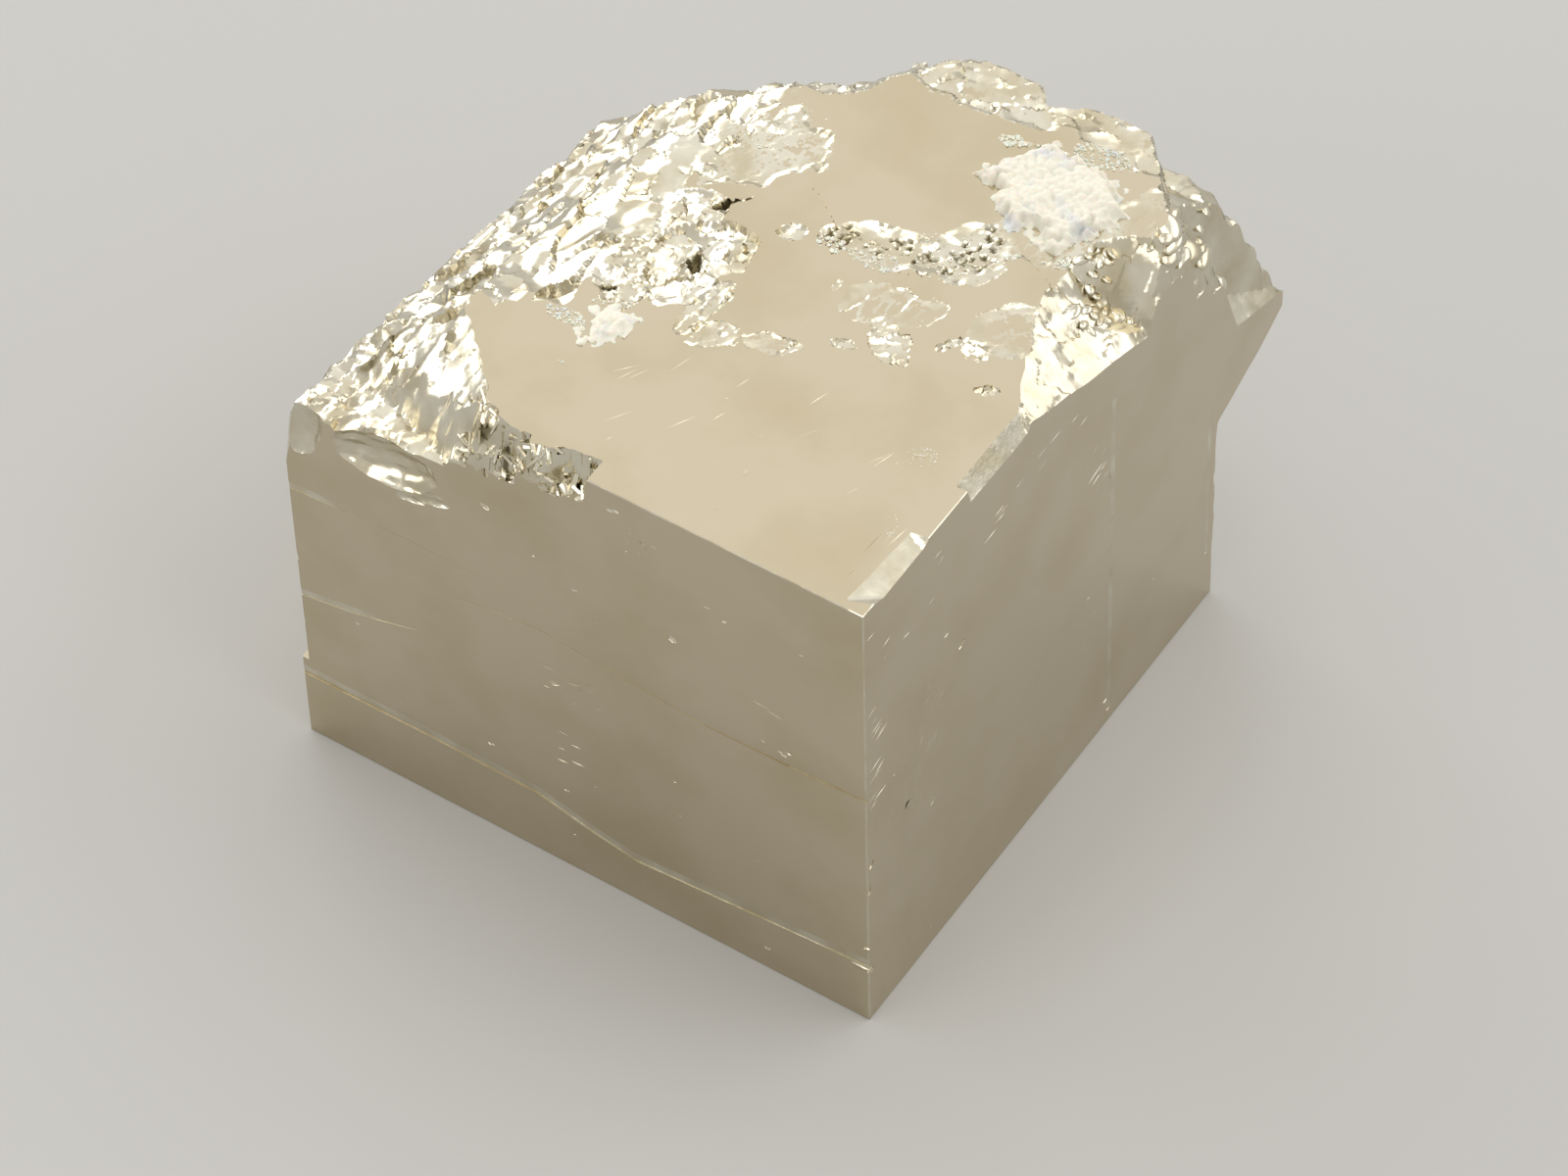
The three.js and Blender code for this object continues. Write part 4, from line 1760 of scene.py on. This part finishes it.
@dataclass
class Crust:
    """A low white crust that lies on the top.

    Attributes:
        node: The solid that it stands for.
        outline: Its border in x and y.
        foot: Height of its flat underside.
        rise: How far its middle stands above the top.
        seed: Picks the pattern of its grains.
        cell: Width of a mesh cell.
        spare: How far the sheet that it is cut from reaches past the border.
        crease: Facets that meet at more than this many degrees keep a sharp edge.
    """

    node: str
    outline: tuple[Place, ...]
    foot: float
    rise: float
    seed: float
    cell: float = 0.12
    spare: float = 0.6
    crease: float = 50.0

    def inside(self, x: Field, y: Field) -> Field:
        """Measures the distance to the border.

        Args:
            x: Places along X.
            y: Places along Y.

        Returns:
            The distance, above zero inside the border.
        """
        corners = np.array(self.outline)
        nearest = np.full(np.shape(x), np.inf)
        crossings = np.zeros(np.shape(x), int)
        for (ax, ay), (bx, by) in zip(corners, np.roll(corners, -1, axis=0)):
            along = ((x - ax) * (bx - ax) + (y - ay) * (by - ay)) / ((bx - ax)**2 + (by - ay)**2)
            along = np.clip(along, 0, 1)
            away = np.hypot(x - ax - along * (bx - ax), y - ay - along * (by - ay))
            nearest = np.minimum(nearest, away)
            crosses = ((ay > y) != (by > y)) & (x < ax + (y - ay) * (bx - ax) / (by - ay + 1e-12))
            crossings = crossings + crosses
        return np.where(crossings % 2 == 1, nearest, -nearest)

    def build(self, crown: Crown) -> bpy.types.Object:
        """Cuts the ragged outline from a sheet, raises its grains and closes its underside.

        Args:
            crown: The top that it lies on.

        Returns:
            The finished piece.
        """
        first = np.min(self.outline, axis=0) - self.spare
        last = np.max(self.outline, axis=0) + self.spare
        count = np.round((last - first) / self.cell).astype(int)
        bm = bmesh.new()
        bmesh.ops.create_grid(bm, x_segments=int(count[0]), y_segments=int(count[1]), size=0.5)
        for vert in bm.verts:
            vert.co.x = first[0] + (vert.co.x + 0.5) * (last[0] - first[0])
            vert.co.y = first[1] + (vert.co.y + 0.5) * (last[1] - first[1])
        bm.verts.ensure_lookup_table()
        x = np.array([vert.co.x for vert in bm.verts])
        y = np.array([vert.co.y for vert in bm.verts])
        # The noise makes the border ragged, and the crust thins out towards it.
        depth = self.inside(x, y) - 0.3 + 1.3 * np.abs(swell(x / 1.2, y / 1.2, self.seed))
        depth = depth + 0.35 * swell(x / 0.4, y / 0.4, self.seed + 1)
        lumps = Hollows(0.5, self.seed + 2, tilt=0.5, flat=1.2).height(x, y)
        low = crown.surface(x, y) - 0.03
        rise = self.rise * ease(depth, 0.0, 1.3)
        uneven = 0.16 * swell(x / 1.6, y / 1.6, 9) * ease(depth, 0, 0.6)
        height = low + rise - 0.8 * lumps * ease(depth, 0, 0.7) + uneven
        height = np.maximum(height, low + 0.15 * ease(depth, 0, 0.4))
        outside = [vert for vert, d in zip(bm.verts, depth) if d < 0]
        for vert, z in zip(bm.verts, height):
            vert.co.z = z
        bmesh.ops.delete(bm, geom=outside, context="VERTS")
        loose = [vert for vert in bm.verts if not vert.link_faces]
        bmesh.ops.delete(bm, geom=loose, context="VERTS")
        rim = [edge for edge in bm.edges if edge.is_boundary]
        made = bmesh.ops.extrude_edge_only(bm, edges=rim)["geom"]
        for item in made:
            if isinstance(item, bmesh.types.BMVert):
                item.co.z = self.foot
        bmesh.ops.holes_fill(bm, edges=[edge for edge in bm.edges if edge.is_boundary])
        bmesh.ops.recalc_face_normals(bm, faces=bm.faces)
        piece = object_from(bm, self.node + "_grains")
        piece.data.materials.append(CrustFinish().build())
        piece.data.shade_smooth()
        piece.data.set_sharp_from_angle(angle=math.radians(self.crease))
        settle(piece)
        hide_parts(self.node)
        return piece


LARGE_CRUST = Crust("white_crust_large", (
    (-17, 41.9), (-14.3, 41.2), (-14.4, 40.1), (-11.4, 38.4), (-9.7, 39.2), (-7.7, 38.2),
    (-6.5, 40.2), (-4.8, 43), (-5.9, 45.8), (-7.2, 47), (-10.6, 47.6), (-13, 47.4),
    (-15, 46.2), (-15.4, 44.2)), 49.1, 1.0, 7)
SMALL_CRUST = Crust("white_crust_small", (
    (-33.2, 11.2), (-31.1, 11.6), (-29.8, 13.1), (-30.1, 15), (-31, 15.7), (-32.4, 15),
    (-33.7, 14.3), (-33, 12.8)), 49.6, 0.45, 17)


@dataclass(frozen=True)
class GrainPatch:
    """Loose white grains that cling to the top.

    Attributes:
        area: Where they lie.
        count: How many there are.
        size: Width of the largest.
        seed: Picks the pattern.
    """

    area: Oval
    count: int
    size: float
    seed: float


@dataclass
class WhiteGrains:
    """All the small white grains, in one mesh.

    Attributes:
        crown: The top that they lie on.
        patches: Where they lie.
    """

    crown: Crown
    patches: tuple[GrainPatch, ...] = (
        GrainPatch(Oval((-18.3, 30.0), (2.4, 1.1), 10), 90, 0.4, 101),
        GrainPatch(Oval((-21.9, 29.5), (1.2, 0.9), 0), 34, 0.5, 102),
        GrainPatch(Oval((-14.5, 33.2), (2.6, 2.8), 30), 90, 0.3, 103),
        GrainPatch(Oval((-6.3, 37.6), (1.6, 0.6), 20), 22, 0.35, 104),
        GrainPatch(Oval((-16.3, 46.4), (1.1, 0.6), 20), 70, 0.45, 105),
        GrainPatch(Oval((-9.6, 48.7), (2.4, 1.3), 10), 230, 0.34, 106),
        GrainPatch(Oval((-9.9, 35.8), (0.8, 0.45), 30), 46, 0.45, 113),
        GrainPatch(Oval((-6.2, 37.8), (0.35, 0.3), 0), 14, 0.5, 114),
        GrainPatch(Oval((-35.0, 12.7), (1.8, 0.7), 0), 110, 0.34, 107),
        GrainPatch(Oval((-32.6, 15.9), (1.8, 0.5), 30), 40, 0.26, 108),
        GrainPatch(Oval((-4.6, 15.2), (1.3, 1.0), 20), 60, 0.2, 109),
        GrainPatch(Oval((-2.9, 8.4), (0.7, 1.2), 20), 22, 0.18, 111),
        GrainPatch(Oval((-32.6, 8.7), (0.3, 0.2), 0), 7, 0.3, 112),
        GrainPatch(Oval((-33.2, 37.6), (5.0, 2.2), 45), 90, 0.3, 110),
    )

    def build(self) -> bpy.types.Object:
        """Sets every grain on the top.

        Returns:
            The finished piece.
        """
        bm = bmesh.new()
        for patch in self.patches:
            for k in range(patch.count):
                self.grain(bm, patch, k)
        piece = object_from(bm, "white_grains")
        piece.data.materials.append(CrustFinish().build())
        settle(piece)
        return piece

    def grain(self, bm: bmesh.types.BMesh, patch: GrainPatch, k: int) -> None:
        """Adds one grain of a patch.

        Args:
            bm: The mesh that it joins.
            patch: The patch.
            k: Number of the grain in the patch.
        """
        number = [float(chance(k, n, patch.seed)) for n in range(6)]
        x, y = patch.area.point(*number[:2])
        z = self.crown.level(x, y)
        size = patch.size * (0.35 + 0.65 * number[2]**2)
        made = bmesh.ops.create_icosphere(bm, subdivisions=1, radius=size / 2)["verts"]
        for n, vert in enumerate(made):
            vert.co *= 0.7 + 0.6 * float(chance(k, n, patch.seed + 0.5))
        flat = 0.45 + 0.3 * number[3]
        bmesh.ops.scale(bm, vec=(1, 0.7 + 0.3 * number[4], flat), verts=made)
        bmesh.ops.rotate(bm, matrix=Matrix.Rotation(FULL_TURN * number[5], 3, "Z"), verts=made)
        bmesh.ops.translate(bm, vec=(x, y, z + 0.15 * size * flat), verts=made)


# ---- the studio ----


@dataclass(frozen=True)
class Softbox:
    """A soft square light that shows in the metal.

    Attributes:
        name: Name of the light.
        bearing: Compass direction it stands in, in degrees from +X.
        lift: Height above the horizon in degrees.
        away: Distance from the crystal in metres.
        size: Width and height in metres.
        glow: Brightness of its face.
    """

    name: str
    bearing: float
    lift: float
    away: float
    size: Place
    glow: float

    def build(self) -> None:
        """Places the light, facing the crystal."""
        data = bpy.data.lights.new(self.name, "AREA")
        data.shape = "RECTANGLE"
        data.size, data.size_y = self.size
        data.energy = self.glow * math.pi * self.size[0] * self.size[1]
        lamp = bpy.data.objects.new(self.name, data)
        around, up = math.radians(self.bearing), math.radians(self.lift)
        place = Vector((math.cos(around) * math.cos(up), math.sin(around) * math.cos(up),
                        math.sin(up))) * self.away
        lamp.location = place
        lamp.rotation_euler = place.to_track_quat("Z", "Y").to_euler()
        bpy.context.scene.collection.objects.link(lamp)


@dataclass
class Studio:
    """A pale floor, soft light and the camera.

    Attributes:
        floor_size: Width of the floor in metres.
        floor_colour: Its colour.
        floor_rough: Its roughness.
        sky: Colour of the light from all sides.
        sky_strength: Brightness of that light.
        boxes: The soft lights.
        lens: Focal length in millimetres.
        sensor: Width of the camera's sensor in millimetres.
        clip_end: How far the camera sees in metres.
        camera_place: Where the camera stands in metres.
        camera_turn: Its turn about the vertical in degrees.
        camera_tilt: Its tilt from straight down in degrees.
        camera_roll: Its roll about its own axis in degrees.
    """

    floor_size: float = 6.0
    floor_colour: Colour = (0.42, 0.415, 0.40)
    floor_rough: float = 0.9
    sky: Colour = (1.0, 0.975, 0.93)
    sky_strength: float = 0.78
    boxes: tuple[Softbox, ...] = (
        Softbox("ceiling", 125, 50, 1.6, (1.7, 1.3), 0.34),
        Softbox("window", 152, 17, 1.7, (1.5, 0.9), 2.2),
        Softbox("left_wall", -170, 13, 1.7, (1.7, 0.8), 2.0),
        Softbox("back_wall", 56, 13, 1.7, (1.6, 0.6), 1.35),
        Softbox("overhead", 100, 86, 1.5, (0.9, 0.9), 2.0),
        Softbox("right_high", 46, 50, 1.7, (0.8, 0.6), 1.6),
        Softbox("front_left", -118, 28, 1.7, (0.8, 0.6), 2.2),
        Softbox("front_right", 6, 46, 1.7, (1.3, 1.1), 1.35),
    )
    lens: float = 157.5
    sensor: float = 36.0
    clip_end: float = 20.0
    camera_place: Point = (0.20176, -0.29322, 0.43726)
    camera_turn: float = 34.68
    camera_tilt: float = 39.42
    camera_roll: float = -1.717

    def build(self) -> None:
        """Makes the floor, the light and the camera."""
        bm = bmesh.new()
        bmesh.ops.create_grid(bm, x_segments=1, y_segments=1, size=self.floor_size / 2)
        floor = object_from(bm, "floor")
        nodes = Nodes("floor")
        nodes.shader.inputs["Base Color"].default_value = (*self.floor_colour, 1.0)
        nodes.shader.inputs["Roughness"].default_value = self.floor_rough
        floor.data.materials.append(nodes.material)
        world = bpy.data.worlds.new("sky")
        world.use_nodes = True
        background = world.node_tree.nodes["Background"]
        background.inputs["Color"].default_value = (*self.sky, 1.0)
        background.inputs["Strength"].default_value = self.sky_strength
        bpy.context.scene.world = world
        for box in self.boxes:
            box.build()
        self.camera()
        bpy.context.scene.view_settings.view_transform = "Standard"

    def camera(self) -> None:
        """Makes the camera."""
        data = bpy.data.cameras.new("camera")
        data.lens = self.lens
        data.sensor_width = self.sensor
        data.clip_end = self.clip_end
        camera = bpy.data.objects.new("camera", data)
        turn = Matrix.Rotation(math.radians(self.camera_turn), 4, "Z")
        tilt = Matrix.Rotation(math.radians(self.camera_tilt), 4, "X")
        roll = Matrix.Rotation(math.radians(self.camera_roll), 4, "Z")
        camera.matrix_world = Matrix.Translation(self.camera_place) @ turn @ tilt @ roll
        bpy.context.scene.collection.objects.link(camera)
        bpy.context.scene.camera = camera


def main() -> None:
    """Builds the specimen and its studio."""
    logging.basicConfig(level=logging.INFO, format="%(message)s")
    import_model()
    cube = PyriteCube()
    pieces = [cube.build(), LARGE_CRUST.build(cube.crown), SMALL_CRUST.build(cube.crown),
              WhiteGrains(cube.crown).build()]
    Studio().build()
    for piece in pieces:
        piece.data.calc_loop_triangles()
        log.info("%s: %d triangles", piece.name, len(piece.data.loop_triangles))


if __name__ == "__main__":
    main()
